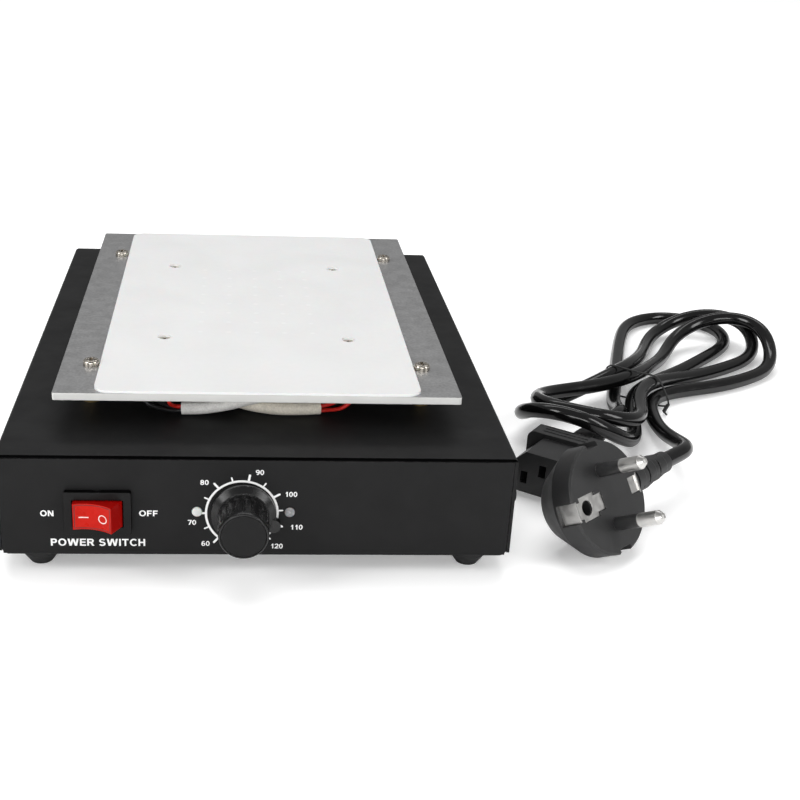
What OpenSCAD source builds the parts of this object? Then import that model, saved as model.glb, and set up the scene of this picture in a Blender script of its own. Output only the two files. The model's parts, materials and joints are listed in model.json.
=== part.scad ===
// Bench heating plate for separating phone screens, with its mains lead.
// Millimetres. X runs along the front panel, Y from the front panel to the
// rear panel, Z up. The origin is on the ground, under the middle of the
// machine's box, from the knob's face to the inlet's screw heads.

/* [Case] */
// Width over the cover's sides
case_w = 165; // [150:1:185]
// Depth from the front panel's face to the rear panel's face
case_d = 226; // [210:1:250]
// Height from the tray's underside to the cover's top
case_h = 35.5; // [35.5:0.5:45]
// Thickness of the tray and cover sheet
sheet_t = 1; // [0.8:0.1:1.2]
// Outer radius of the sheet's bends
bend_r = 1.6; // [1.4:0.1:2.5]
// Gap between the tray and the cover all round
cover_gap = 0.2; // [0.1:0.05:0.3]
// Height of the cover's lower edge over the tray's underside
cover_lift = 1.8; // [1.2:0.1:3]
// Depth of the screw tabs turned back from the panels
tab_d = 14; // [12:0.5:18]
// Height of the lips along the tray's sides
lip_h = 8; // [5:0.5:12]
// Distance of the cover screws from the front and rear faces
cover_screw_in = 8.5; // [7:0.5:10]
// Height of the cover screws over the tray's underside
cover_screw_h = 19; // [14:0.5:24]
// Size of the clipped corners at the foot of the front and rear panels
corner_clip = 2; // [1:0.25:3]

/* [Feet] */
// Height of a rubber foot
foot_h = 6; // [5:0.5:9]
// Diameter of a foot where it is stuck to the tray
foot_d = 12.8; // [11:0.2:16]
// Diameter of a foot on the ground
foot_base_d = 7.4; // [6:0.2:10]
// Distance of a foot's axis from the tray's side edge
foot_side_in = 11; // [8:0.5:20]
// Distance of a foot's axis from the front and rear faces
foot_end_in = 9; // [8:0.5:20]

/* [Heating plate] */
// Width of the plate
plate_w = 133; // [126:1:140]
// Depth of the plate
plate_d = 188; // [180:1:196]
// Thickness of the plate
plate_t = 2.5; // [2:0.25:3.5]
// Distance of the plate's front edge behind the front panel
plate_front = 20.4; // [18:0.2:24]
// Height of the spacers that carry the plate
spacer_h = 10; // [10:0.5:15]
// Diameter of the spacers
spacer_d = 7; // [6:0.5:8]
// Distance between the plate screws along X
plate_screw_dx = 112.8; // [112.5:0.1:114]
// Distance between the plate screws along Y
plate_screw_dy = 128.8; // [122:0.2:134]
// Distance of the front plate screws behind the plate's front edge
plate_screw_front = 25.3; // [22:0.1:30]
// Width of the silicone mat
mat_w = 106.8; // [100:0.2:106.8]
// Depth of the silicone mat
mat_d = 186; // [178:1:187.5]
// Thickness of the mat
mat_t = 0.9; // [0.5:0.1:1.5]
// Corner radius of the mat
mat_r = 5; // [3:0.5:8]
// Diameter of the mat's punched holes
mat_hole_d = 4.6; // [4:0.2:6]

/* [Heater] */
// Width of the heater
heater_w = 104; // [96:1:106]
// Depth of the heater
heater_d = 140; // [120:1:144]
// Thickness of the heater
heater_t = 1.6; // [1:0.1:2]
// Thickness of the clamp plate under the heater
clamp_t = 1.2; // [1:0.1:1.5]
// Distance between the clamp screws along X
clamp_screw_dx = 66; // [60:1:72]
// Distance between the clamp screws along Y
clamp_screw_dy = 86; // [80:1:92]
// Outer diameter of a glass-fibre sleeve
sleeve_d = 4.3; // [4:0.1:4.4]
// Wall of a glass-fibre sleeve
sleeve_wall = 0.4; // [0.3:0.05:0.5]
// Diameter of a heater lead
lead_d = 1.3; // [1:0.1:1.4]

/* [Front panel] */
// Height of the controls' line over the tray's underside
control_h = 16.2; // [15.5:0.1:18]
// Distance of the switch from the case's left side
switch_in = 31.9; // [29:0.1:34]
// Place of the dial from the case's middle
dial_x = -4.7; // [-8:0.1:0]
// Distance of a lamp from the dial's middle
lamp_dx = 14.75; // [14:0.05:17]
// Diameter of a lamp
lamp_d = 3.3; // [3:0.1:5]
// How far a lamp stands out of the panel
lamp_out = 0.5; // [0.4:0.1:1.5]

/* [Rocker switch] */
// Width of the bezel
bezel_w = 21; // [20.6:0.1:23]
// Height of the bezel
bezel_h = 15; // [14.6:0.1:17]
// Thickness of the bezel
bezel_t = 2; // [1.5:0.1:2.2]
// Width of the switch body in the panel
switch_body_w = 19; // [18.8:0.1:19.4]
// Height of the switch body in the panel
switch_body_h = 13; // [12.8:0.1:13.4]
// Depth of the switch body behind the panel
switch_body_d = 13; // [12:0.5:16]
// Width of the rocker's window
window_w = 16.1; // [16.1:0.05:16.8]
// Height of the rocker's window
window_h = 9.6; // [9.4:0.1:10.6]
// Height of the rocker
rocker_h = 9; // [8.6:0.1:9.1]
// Width of the rocker across its pivot
rocker_w = 15.9; // [15.4:0.05:15.9]
// Distance between the two ridges of the rocker's face
ridge_w = 12.6; // [12:0.1:13]
// Height of the ridges over the pivot
ridge_h = 6; // [5.6:0.1:6.2]
// Depth of the hollow between the ridges
dish_deep = 1.6; // [0.8:0.1:1.8]
// Tilt of the rocker each way from its middle
rocker_tilt = 14; // [10:0.5:15]
// Diameter of the rocker's pivot pins
pivot_d = 2.4; // [2:0.1:2.8]

/* [Knob] */
// Diameter of the knob's skirt
skirt_d = 20.6; // [19.5:0.1:21.4]
// Height of the skirt's straight edge
skirt_h = 1.6; // [1.2:0.1:2.2]
// Diameter at the top of the skirt's bevel
shoulder_d = 17; // [16.8:0.1:18]
// Height of the skirt's bevel
bevel_h = 1.6; // [1:0.1:2.2]
// Diameter of the grip at its foot
grip_d = 16.4; // [16.1:0.1:16.6]
// Diameter of the grip at its face
grip_top_d = 15.9; // [15.4:0.1:16]
// Height of the whole knob
knob_h = 15.6; // [14.5:0.1:18]
// Gap between the knob and the panel
knob_gap = 0.9; // [0.6:0.1:1.5]
// Number of flutes round the grip
flutes = 18; // [12:1:24]
// Diameter of the pointer's lobe
pointer_d = 4.6; // [4:0.1:5.5]
// Distance of the pointer's lobe from the knob's axis
pointer_r = 10.2; // [9.8:0.1:11]
// Angle of the pointer at rest, counter-clockwise from +X seen from the front
pointer_angle = -20; // [-70:1:230]
// Diameter of the control's shaft
shaft_d = 6; // [5.5:0.05:6.1]
// Diameter of the control's threaded bush
bush_d = 7; // [6.8:0.1:7.5]
// Diameter of the control's can
pot_d = 16.4; // [15.5:0.1:16.4]
// Depth of the control's can
pot_depth = 8.5; // [7:0.5:11]

/* [Inside] */
// Width of the control board
board_w = 90; // [86:1:96]
// Depth of the control board
board_d = 80; // [78:1:90]
// Thickness of the control board
board_t = 1.6; // [1.2:0.2:1.6]
// Height of the board's spacers
board_spacer_h = 5; // [4:0.5:5]
// Width of the transformer's core
core_w = 35; // [32:1:38]
// Depth of the transformer's core
core_d = 17; // [14:1:20]
// Height of the transformer's core
core_h = 29; // [26:0.5:30]
// Distance of the power inlet from the case's left side
inlet_in = 42.5; // [38.5:0.5:48.5]

/* [Mains lead] */
// Diameter of the lead
cord_d = 6; // [5.6:0.1:6]
// Distance of the hank's tie from the case's side
hank_x = 83.5; // [83.5:0.5:120]
// Distance of the hank's tie behind the front panel
hank_y = 150; // [120:1:200]
// Direction of the hank on the ground, counter-clockwise from +X
hank_angle = 53; // [40:1:60]
// Diameter of the plug's face
plug_d = 39; // [38:0.5:40]
// Height of the plug's straight rim
plug_rim = 8; // [6:0.5:10]
// Diameter of the plug's back
plug_back_d = 25; // [22:0.5:28]
// Depth of the plug's body behind its face
plug_l = 20; // [19:0.5:24]
// Diameter of the plug's earth hole
earth_hole_d = 5.2; // [5:0.1:5.6]
// Length of a plug pin
pin_l = 19; // [18:0.5:20]
// Diameter of a plug pin
pin_d = 4.8; // [4.6:0.1:5]
// Width of the connector's grip
conn_w = 27; // [26:0.5:28]
// Height of the connector's grip
conn_h = 20; // [19:0.5:21]
// Length of the connector's nose, which goes into the inlet
nose_l = 15; // [14:0.5:16]
// Length of the connector's grip
grip_l = 16; // [14:0.5:20]
// Length of the connector's slotted sleeve
conn_relief_l = 31; // [26:0.5:34]
// Length of the plug's slotted sleeve
plug_relief_l = 28; // [24:0.5:32]
// Diameter of the wire that ties the hank
tie_d = 0.8; // [0.6:0.05:0.8]

/* [Hidden] */
$fn = 48;

// Shared clearances and thread sizes
fit = 0.1;            // between a fixed piece and the hole that it sits in
run_fit = 0.05;       // between a turning piece and its bore, at the radius
screw_d = 3;          // M3
screw_clear = 0.3;    // added to a screw's diameter for its clearance hole
head_d = 5.6;
head_h = 2;
nut_af = 5.5;
nut_h = 2.4;
washer_d = 11.6;
washer_t = 0.5;
dial_nut_af = 10;
cap_proud = 0.05;     // how far the knob's cap stands out of its face
eps = 0.01;

// Main planes. The knob stands in front of the case and the inlet behind it.
inlet_flange_t = 3;
front_out = knob_gap + knob_h + cap_proud;
rear_out = inlet_flange_t + head_h;
front_y = front_out - (front_out + case_d + rear_out) / 2;
rear_y = front_y + case_d;
mid_y = (front_y + rear_y) / 2;
tray_z = foot_h;
floor_z = tray_z + sheet_t;
top_z = tray_z + case_h;
roof_z = top_z - sheet_t;
panel_top_z = roof_z - cover_gap;
tray_w = case_w - 2 * (sheet_t + cover_gap);
tab_x = tray_w / 2 - sheet_t / 2;
switch_x = switch_in - case_w / 2;
inlet_x = inlet_in - case_w / 2;
control_z = tray_z + control_h;
plate_z = top_z + spacer_h;
plate_top_z = plate_z + plate_t;
plate_y = front_y + plate_front + plate_d / 2;
screw_y0 = front_y + plate_front + plate_screw_front;
plate_screw_at = [for (x = [-1, 1], y = [0, 1]) [x * plate_screw_dx / 2, screw_y0 + y * plate_screw_dy]];
clamp_screw_at = [for (x = [-1, 1], y = [-1, 1]) [x * clamp_screw_dx / 2, plate_y + y * clamp_screw_dy / 2]];
clamp_z = plate_z - heater_t - clamp_t;
foot_at = [for (x = [-1, 1], y = [front_y + foot_end_in, rear_y - foot_end_in])
    [x * (tray_w / 2 - foot_side_in), y]];
cover_screw_at = [front_y + cover_screw_in, rear_y - cover_screw_in];
cover_screw_z = tray_z + cover_screw_h;

// Outlines and plain solids

// Rectangle with round corners, centred
module round_rect(w, d, r) {
    square([w - 2 * r, d], center = true);
    square([w, d - 2 * r], center = true);
    for (x = [-1, 1], y = [-1, 1])
        translate([x * (w / 2 - r), y * (d / 2 - r)]) circle(r);
}

// Sheet bent to a channel that opens upwards, seen from its end
module channel(w, h, t, r) {
    difference() {
        channel_fill(w, h, r);
        translate([0, t]) channel_fill(w - 2 * t, h, r - t);
    }
}

module channel_fill(w, h, r) {
    translate([-w / 2, r]) square([w, h - r]);
    translate([-w / 2 + r, 0]) square([w - 2 * r, r + eps]);
    for (x = [-1, 1]) translate([x * (w / 2 - r), r]) circle(r);
}

// Pan-head screw with a cross recess, its head on z = 0, pointing down
module pan_screw(length) {
    edge = 0.9;
    slot_w = 0.9;
    slot_l = 3.2;
    slot_deep = 1.1;
    difference() {
        union() {
            rotate_extrude() {
                square([head_d / 2 - edge, head_h]);
                square([head_d / 2, head_h - edge]);
                translate([head_d / 2 - edge, head_h - edge]) intersection() {
                    circle(edge);
                    square(edge);
                }
            }
            translate([0, 0, -length]) cylinder(d = screw_d - fit, h = length + eps);
        }
        for (a = [0, 90]) rotate(a)
            translate([-slot_l / 2, -slot_w / 2, head_h - slot_deep]) cube([slot_l, slot_w, head_h]);
    }
}

module hex_nut(af, h, bore) {
    difference() {
        cylinder(d = af / cos(30), h = h, $fn = 6);
        translate([0, 0, -1]) cylinder(d = bore, h = h + 2);
    }
}

// Curve through hand-picked points, and a tube swept along it

function mid(a, b, c, d, t) = 0.5 * ((2 * b) + (c - a) * t + (2 * a - 5 * b + 4 * c - d) * t * t
    + (3 * b - a - 3 * c + d) * t * t * t);

// Point at parameter s, from 0 to the last point's index
function along(p, s) = let (
    n = len(p) - 1,
    i = max(0, min(floor(s), n - 1)),
    a = i > 0 ? p[i - 1] : 2 * p[0] - p[1],
    d = i + 2 <= n ? p[i + 2] : 2 * p[n] - p[n - 1]
) mid(a, p[i], p[i + 1], d, s - i);

function unit(v) = v / norm(v);

function path_points(p, per) = [for (i = [0 : (len(p) - 1) * per]) along(p, i / per)];

// Softer curve that only passes its first and last point
function spline(a, b, c, d, t) = ((1 - t) ^ 3 * a + (3 * t ^ 3 - 6 * t ^ 2 + 4) * b
    + (-3 * t ^ 3 + 3 * t ^ 2 + 3 * t + 1) * c + t ^ 3 * d) / 6;

function spline_at(p, s) = let (
    n = len(p) - 1,
    i = min(floor(s), n - 1),
    a = i > 0 ? p[i - 1] : 2 * p[0] - p[1],
    d = i + 2 <= n ? p[i + 2] : 2 * p[n] - p[n - 1]
) spline(a, p[i], p[i + 1], d, s - i);

function ring_dir(q, i) = unit(q[min(i + 1, len(q) - 1)] - q[max(i - 1, 0)]);

// Side vectors carried along the path without twist
function carried(q, i, u) = let (
    t = ring_dir(q, i),
    v = unit(u - (u * t) * t)
) i == len(q) - 1 ? [v] : concat([v], carried(q, i + 1, v));

module swept_tube(q, d, sides, up = [0, 0, 1]) {
    n = len(q);
    side = carried(q, 0, up);
    rings = [for (i = [0 : n - 1], k = [0 : sides - 1])
        let (t = ring_dir(q, i), u = side[i], w = cross(t, u), a = 360 * k / sides)
        q[i] + d / 2 * (cos(a) * u + sin(a) * w)];
    walls = [for (i = [0 : n - 2], k = [0 : sides - 1])
        let (k2 = (k + 1) % sides)
        [i * sides + k, (i + 1) * sides + k, (i + 1) * sides + k2, i * sides + k2]];
    near_end = [for (k = [0 : sides - 1]) k];
    far_end = [for (k = [sides - 1 : -1 : 0]) (n - 1) * sides + k];
    polyhedron(rings, concat(walls, [near_end, far_end]));
}

// Case

module base_tray() color("#2b2c2e") {
    difference() {
        union() {
            translate([0, mid_y, tray_z]) rotate([90, 0, 90])
                linear_extrude(tray_w, center = true) channel(case_d, panel_top_z - tray_z, sheet_t, bend_r);
            tray_tabs();
            tray_lips();
        }
        panel_cuts();
        rear_cuts();
        floor_cuts();
        for (x = [-1, 1], y = [front_y, rear_y])
            translate([x * tray_w / 2, y, tray_z]) rotate([0, 45, 0])
                cube([corner_clip * sqrt(2), 2 * bend_r, corner_clip * sqrt(2)], center = true);
    }
}

// Tabs turned back from the panels, each with a tapped hole for a cover screw
module tray_tabs() {
    z0 = floor_z + corner_clip;
    for (x = [-1, 1], end = [0, 1]) difference() {
        y = end == 0 ? front_y + (tab_d + sheet_t) / 2 : rear_y - (tab_d + sheet_t) / 2;
        translate([x * tab_x, y, (z0 + panel_top_z) / 2])
            cube([sheet_t, tab_d - sheet_t + 2 * eps, panel_top_z - z0], center = true);
        translate([x * tab_x, cover_screw_at[end], cover_screw_z]) rotate([0, 90, 0])
            cylinder(d = screw_d, h = 4 * sheet_t, center = true);
    }
}

module tray_lips() {
    length = case_d - 2 * tab_d - 8;
    for (x = [-1, 1])
        translate([x * tab_x, mid_y, floor_z - eps]) linear_extrude(lip_h - sheet_t)
            square([sheet_t, length], center = true);
}

module panel_cuts() {
    translate([switch_x, front_y, control_z])
        cube([switch_body_w + 2 * fit, 4 * sheet_t, switch_body_h + 2 * fit], center = true);
    translate([dial_x, front_y, control_z]) rotate([90, 0, 0])
        cylinder(d = bush_d + 2 * fit, h = 4 * sheet_t, center = true);
    for (s = [-1, 1])
        translate([dial_x + s * lamp_dx, front_y, control_z]) rotate([90, 0, 0])
            cylinder(d = lamp_d + 2 * fit, h = 4 * sheet_t, center = true);
}

module rear_cuts() {
    translate([inlet_x, rear_y, inlet_z]) {
        cube([inlet_body_w + 2 * fit, 4 * sheet_t, inlet_body_h + 2 * fit], center = true);
        for (s = [-1, 1]) translate([s * inlet_screw_dx / 2, 0, 0]) rotate([90, 0, 0])
            cylinder(d = screw_d + screw_clear, h = 4 * sheet_t, center = true);
    }
}

module floor_cuts() {
    for (p = concat(board_screw_at, core_screw_at, [earth_at]))
        translate([p[0], p[1], tray_z - 1]) cylinder(d = screw_d + screw_clear, h = sheet_t + 2);
    for (s = [-1, 1], k = [0 : vent_count - 1])
        translate([s * vent_x, vent_y + k * vent_pitch, tray_z - 1])
            linear_extrude(sheet_t + 2) round_rect(vent_l, vent_w, vent_w / 2 - eps);
}

module top_cover() color("#2d2e30") {
    h = top_z - tray_z - cover_lift;
    difference() {
        translate([0, mid_y, top_z]) mirror([0, 0, 1]) rotate([90, 0, 0])
            linear_extrude(case_d, center = true) channel(case_w, h, sheet_t, bend_r);
        for (x = [-1, 1], y = cover_screw_at)
            translate([x * case_w / 2, y, cover_screw_z]) rotate([0, 90, 0])
                cylinder(d = screw_d + screw_clear, h = 4 * sheet_t, center = true);
        for (p = plate_screw_at)
            translate([p[0], p[1], roof_z - 1]) cylinder(d = screw_d + screw_clear, h = sheet_t + 2);
        for (p = grommet_at)
            translate([p[0], p[1], roof_z - 1]) cylinder(d = grommet_hole_d, h = sheet_t + 2);
    }
}

module cover_screws() color("#1f1f20") {
    length = 2 * sheet_t + cover_gap + 2;
    for (x = [-1, 1], y = cover_screw_at)
        translate([x * case_w / 2, y, cover_screw_z])
            rotate([0, x * 90, 0]) pan_screw(length);
}

module rubber_feet() color("#19191a") {
    edge = foot_h / 3;
    for (p = foot_at) translate([p[0], p[1], 0])
        rotate_extrude() polygon([
            [0, 0], [foot_base_d / 2, 0], [foot_d / 2, foot_h - edge], [foot_d / 2, foot_h], [0, foot_h]
        ]);
}

// Heating plate

module heating_plate() color("#b9bbbd") difference() {
    translate([0, plate_y, plate_z]) linear_extrude(plate_t) round_rect(plate_w, plate_d, 0.8);
    for (p = plate_screw_at)
        translate([p[0], p[1], plate_z - 1]) cylinder(d = screw_d + screw_clear, h = plate_t + 2);
    for (p = clamp_screw_at) translate([p[0], p[1], plate_z]) {
        translate([0, 0, -1]) cylinder(d = screw_d + screw_clear, h = plate_t + 2);
        translate([0, 0, plate_t - csk_h]) cylinder(d1 = screw_d, d2 = csk_d + 2 * fit, h = csk_h + fit);
    }
}

module silicone_mat() color("#f2f2f0") difference() {
    translate([0, plate_y - (plate_d - mat_d) / 2 + 0.2, plate_top_z])
        linear_extrude(mat_t) round_rect(mat_w, mat_d, mat_r);
    for (p = clamp_screw_at)
        translate([p[0], p[1], plate_top_z - 1]) cylinder(d = mat_hole_d, h = mat_t + 2);
}

module plate_screws() color("#c9cacb") {
    length = plate_t + spacer_h / 2 - 0.5;
    for (p = plate_screw_at) translate([p[0], p[1], plate_top_z]) pan_screw(length);
}

module plate_spacers() color("#c2b280") {
    for (p = plate_screw_at) translate([p[0], p[1], top_z]) difference() {
        cylinder(d = spacer_d, h = spacer_h);
        translate([0, 0, -1]) cylinder(d = screw_d, h = spacer_h + 2);
    }
}

// Screws that come up through the cover into the spacers
module spacer_screws() color("#c9cacb") {
    length = sheet_t + spacer_h / 2 - 0.5;
    for (p = plate_screw_at) translate([p[0], p[1], roof_z]) mirror([0, 0, 1]) pan_screw(length);
}

// Heater

module heater_element() color("#8a7f6a") difference() {
    translate([0, plate_y, plate_z - heater_t]) linear_extrude(heater_t) round_rect(heater_w, heater_d, 2);
    clamp_screw_holes(plate_z - heater_t, heater_t);
}

module heater_clamp() color("#a9abad") difference() {
    translate([0, plate_y, clamp_z]) linear_extrude(clamp_t) round_rect(heater_w, heater_d, 2);
    clamp_screw_holes(clamp_z, clamp_t);
}

module clamp_screw_holes(z, t) {
    for (p = clamp_screw_at) translate([p[0], p[1], z - 1]) cylinder(d = screw_d + screw_clear, h = t + 2);
}

module clamp_screws() color("#c9cacb") {
    length = plate_t + heater_t + clamp_t + nut_h;
    for (p = clamp_screw_at) translate([p[0], p[1], plate_top_z]) difference() {
        union() {
            translate([0, 0, -csk_h]) cylinder(d1 = screw_d - fit, d2 = csk_d, h = csk_h);
            translate([0, 0, -length]) cylinder(d = screw_d - fit, h = length - csk_h + eps);
        }
        for (a = [0, 90]) rotate(a) translate([-1.4, -0.4, -1]) cube([2.8, 0.8, 2]);
    }
}

module clamp_nuts() color("#c9cacb") {
    for (p = clamp_screw_at) translate([p[0], p[1], clamp_z - nut_h]) hex_nut(nut_af, nut_h, screw_d);
}

// Bead in a flat copper lug, against the clamp plate
module temperature_probe() {
    z = clamp_z;
    color("#b87333") translate([probe_x, probe_y, z - 0.8]) linear_extrude(0.8) round_rect(8, 14, 3);
    color("#c0392b") translate([probe_x, probe_y - 4, z - 1.8]) rotate([90, 0, 0])
        cylinder(d = 2, h = 8, center = true);
    for (s = [-1, 1]) color("#eeeeea") swept_tube(path_points([
        [probe_x + s * 0.5, probe_y - 8, z - 1.8],
        [probe_x + s * 0.8, probe_y - 18, z - 2.2],
        [s * 0.9, grommet_mid_y + 9, z - 2.8],
        [s * 0.9, grommet_mid_y + 2.4, z - 3.8],
        [s * 0.9, grommet_mid_y, top_z - 1],
        [s * 0.9, grommet_mid_y, roof_z - 6]
    ], 2), 0.9, 6, [1, 0, 0]);
}

// Axial fuse in a metal saddle, against the clamp plate
module thermal_fuse() {
    y = plate_y + 10;
    d = 3.4;
    z = clamp_z - d / 2 - 0.5;
    color("#d9d9d6") translate([fuse_x, y, z]) rotate([90, 0, 0]) cylinder(d = d, h = 10, center = true);
    color("#a9abad") translate([fuse_x, y, clamp_z - 0.25]) cube([12, 5, 0.5], center = true);
}

module cable_grommets() color("#161616") {
    lip = 1.2;
    for (p = grommet_at) translate([p[0], p[1], roof_z]) rotate_extrude() difference() {
        union() {
            translate([0, -lip]) square([grommet_hole_d / 2 + 1.5, lip]);
            square([grommet_hole_d / 2, sheet_t]);
            translate([0, sheet_t]) square([grommet_hole_d / 2 + 1.5, lip]);
        }
        translate([-1, -2 * lip]) square([1 + grommet_d / 2, sheet_t + 4 * lip]);
    }
}

module hollow_sleeve(points) difference() {
    swept_tube(path_points(points, 2), sleeve_d, 12);
    swept_tube(path_points(concat(
        [points[0] - unit(points[1] - points[0])], points,
        [points[len(points) - 1] - [0, 0, 1]]), 2), sleeve_d - 2 * sleeve_wall, 12);
}

module sleeve_left() color("#f1efe9") hollow_sleeve(sleeve_left_points);

module sleeve_right() color("#e9e3d2") hollow_sleeve(sleeve_right_points);

module red_leads() color("#c4201c")
    for (p = red_lead_points) swept_tube(path_points(p, 2), lead_d, 8);

module black_leads() color("#1b1b1c")
    for (p = black_lead_points) swept_tube(path_points(p, 2), lead_d, 8);

// Rocker switch

pivot_in = 2.2;       // from the bezel's face back to the rocker's pivot
pivot_y = front_y - bezel_t + pivot_in;
cavity_d = 8;
rocker_foot = 2.5;    // how far the rocker reaches behind its pivot
rocker_foot_in = 0.45;

module switch_housing() color("#161617") translate([switch_x, front_y, control_z]) difference() {
    union() {
        translate([0, -bezel_t, 0]) rotate([-90, 0, 0])
            linear_extrude(bezel_t) round_rect(bezel_w, bezel_h, 0.6);
        translate([0, (switch_body_d - eps) / 2, 0])
            cube([switch_body_w, switch_body_d + eps, switch_body_h], center = true);
        for (x = [-1, 1]) translate([x * switch_body_w / 2, 0, 0]) rotate([0, 0, 90 * (1 - x)])
            linear_extrude(latch_w, center = true) polygon(latch_outline(x));
    }
    translate([0, -bezel_t + cavity_d / 2 - eps, 0])
        cube([window_w, cavity_d, window_h], center = true);
    translate([0, pivot_y - front_y, 0])
        cylinder(d = pivot_d + 2 * run_fit, h = switch_body_h + 2, center = true);
}

// Spring latch behind the panel, seen from above
function latch_outline(x) = x > 0
    ? [[0, sheet_t + fit], [latch_out, sheet_t + fit], [0, sheet_t + latch_l]]
    : [[0, -sheet_t - fit], [0, -sheet_t - latch_l], [latch_out, -sheet_t - fit]];

module switch_terminals() color("#c9b27a")
    for (x = [-1, 0, 1])
        translate([switch_x + x * tag_pitch, front_y + switch_body_d + tag_l / 2, control_z]) difference() {
            cube([tag_t, tag_l, tag_w], center = true);
            translate([0, tag_l / 2 - 2.5, 0]) rotate([0, 90, 0]) cylinder(d = 1.6, h = 2, center = true);
        }

module rocker() color("#d02018") translate([switch_x, pivot_y, control_z])
    rotate(-rocker_tilt) rotate([0, 0, 180]) {
        dish_r = ((ridge_w / 2) ^ 2 + dish_deep ^ 2) / (2 * dish_deep);
        linear_extrude(rocker_h, center = true) difference() {
            polygon([
                [rocker_foot_in - rocker_w / 2, -rocker_foot], [rocker_w / 2 - rocker_foot_in, -rocker_foot],
                [rocker_w / 2, 0], [ridge_w / 2, ridge_h], [-ridge_w / 2, ridge_h], [-rocker_w / 2, 0]
            ]);
            translate([0, ridge_h - dish_deep + dish_r]) circle(dish_r, $fn = 128);
        }
        cylinder(d = pivot_d, h = switch_body_h - 2 * fit, center = true);
    }

// Dial

module dial_control() color("#8d8f92") translate([dial_x, front_y + sheet_t, control_z]) {
    difference() {
        union() {
            rotate([-90, 0, 0]) cylinder(d = pot_d, h = pot_depth);
            rotate([90, 0, 0]) cylinder(d = bush_d, h = sheet_t + bush_out);
        }
        translate([0, 3, 0]) rotate([90, 0, 0]) cylinder(d = shaft_d + 2 * run_fit, h = 30);
    }
    leg_top = -pot_d / 2 + 1.2;
    leg_l = leg_top + control_z - board_top_z - seat_gap;
    color("#3a3a3c") for (x = [-5, 0, 5])
        translate([x, pot_depth / 2 + 1, leg_top - leg_l / 2]) cube([1, 1.2, leg_l], center = true);
}

module dial_nut() color("#c9cacb") translate([dial_x, front_y, control_z]) rotate([90, 0, 0]) {
    difference() {
        cylinder(d = washer_d, h = washer_t);
        translate([0, 0, -1]) cylinder(d = bush_d + fit, h = washer_t + 2);
    }
    translate([0, 0, washer_t]) hex_nut(dial_nut_af, dial_nut_h, bush_d + fit);
}

module dial_shaft() color("#d0d1d2") translate([dial_x, front_y, control_z]) rotate([90, 0, 0])
    difference() {
        translate([0, 0, -sheet_t - 2.5]) cylinder(d = shaft_d, h = shaft_out + sheet_t + 2.5);
        rotate(pointer_angle) translate([-shaft_d, -shaft_d, bush_out + 1])
            cube([shaft_d / 2 + shaft_flat, 2 * shaft_d, 20]);
    }

// Knob: skirt, bevel, fluted grip and pointer, with a hollow over the nut
module knob() color("#202022") translate([dial_x, front_y - knob_gap, control_z]) rotate([90, 0, 0]) {
    grip_z = skirt_h + bevel_h;
    difference() {
        union() {
            rotate_extrude() polygon([
                [0, 0], [skirt_d / 2 - 0.4, 0], [skirt_d / 2, 0.4], [skirt_d / 2, skirt_h],
                [shoulder_d / 2, grip_z], [0, grip_z]
            ]);
            knob_grip(grip_z - 1);
            rotate(pointer_angle) translate([pointer_r, 0, 0]) cylinder(d = pointer_d, h = skirt_h + 0.8);
        }
        translate([0, 0, -1]) cylinder(d = hollow_d, h = 1 + hollow_h);
        shaft_hole(hollow_h - 1, shaft_out - knob_gap + 0.3);
    }
}

module knob_grip(z) difference() {
    rotate_extrude() polygon([
        [0, z], [grip_d / 2, z], [grip_top_d / 2, knob_h - rim_l],
        for (a = [22.5 : 22.5 : 90])
            [grip_top_d / 2 - rim_in * (1 - cos(a)), knob_h - rim_l * (1 - sin(a))],
        [0, knob_h]
    ]);
    for (k = [0 : flutes - 1]) rotate(pointer_angle + (k + 0.5) * 360 / flutes)
        translate([grip_top_d / 2 + 0.25, 0, z + 2.2])
            cylinder(d = 1.1, h = knob_h - rim_l - 0.2 - z - 2.2, $fn = 24);
    translate([0, 0, knob_h - cap_t]) cylinder(d = cap_d + 2 * fit, h = cap_t + 1);
}

// D-shaped hole for the shaft, from z0 to z1
module shaft_hole(z0, z1) translate([0, 0, z0]) linear_extrude(z1 - z0) difference() {
    circle(d = shaft_d + 2 * fit);
    rotate(pointer_angle) translate([-shaft_d, -shaft_d])
        square([shaft_d / 2 + shaft_flat - fit, 2 * shaft_d]);
}

module knob_cap() color("#2a2b2d") translate([dial_x, front_y - knob_gap - knob_h + cap_t, control_z])
    rotate([90, 0, 0]) rotate_extrude($fn = 96) polygon([
        [0, 0], [cap_d / 2, 0], [cap_d / 2, cap_t - 0.2],
        [cap_d / 2 - 0.3, cap_t + cap_proud], [0, cap_t + cap_proud]
    ]);

// Lamps

module lamp() rotate([90, 0, 0]) {
    straight = lamp_out - lamp_dome;
    rotate_extrude() {
        translate([0, -sheet_t - lamp_flange_t]) square([lamp_d / 2 + 0.4, lamp_flange_t]);
        translate([0, -sheet_t - eps]) square([lamp_d / 2, sheet_t + straight + eps]);
        translate([0, straight]) intersection() {
            scale([1, 2 * lamp_dome / lamp_d]) circle(lamp_d / 2);
            square(lamp_d);
        }
    }
}

// Two legs that run back from the lamp and bend down to the board
module lamp_leads(h) for (x = [-1, 1]) color("#c9cacb") translate([x * 1.27, sheet_t + lamp_flange_t, 0]) {
    leg = 0.5;
    back = 5;
    translate([0, back / 2, 0]) cube([leg, back, leg], center = true);
    translate([0, back - leg / 2, -h / 2]) cube([leg, leg, h], center = true);
}

module lamp_left() translate([dial_x - lamp_dx, front_y, control_z]) {
    color("#f4f4f2") lamp();
    lamp_leads(control_z - board_top_z - seat_gap);
}

module lamp_right() translate([dial_x + lamp_dx, front_y, control_z]) {
    color("#9b9d9f") lamp();
    lamp_leads(control_z - board_top_z - seat_gap);
}

// Control board and what stands on it

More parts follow.
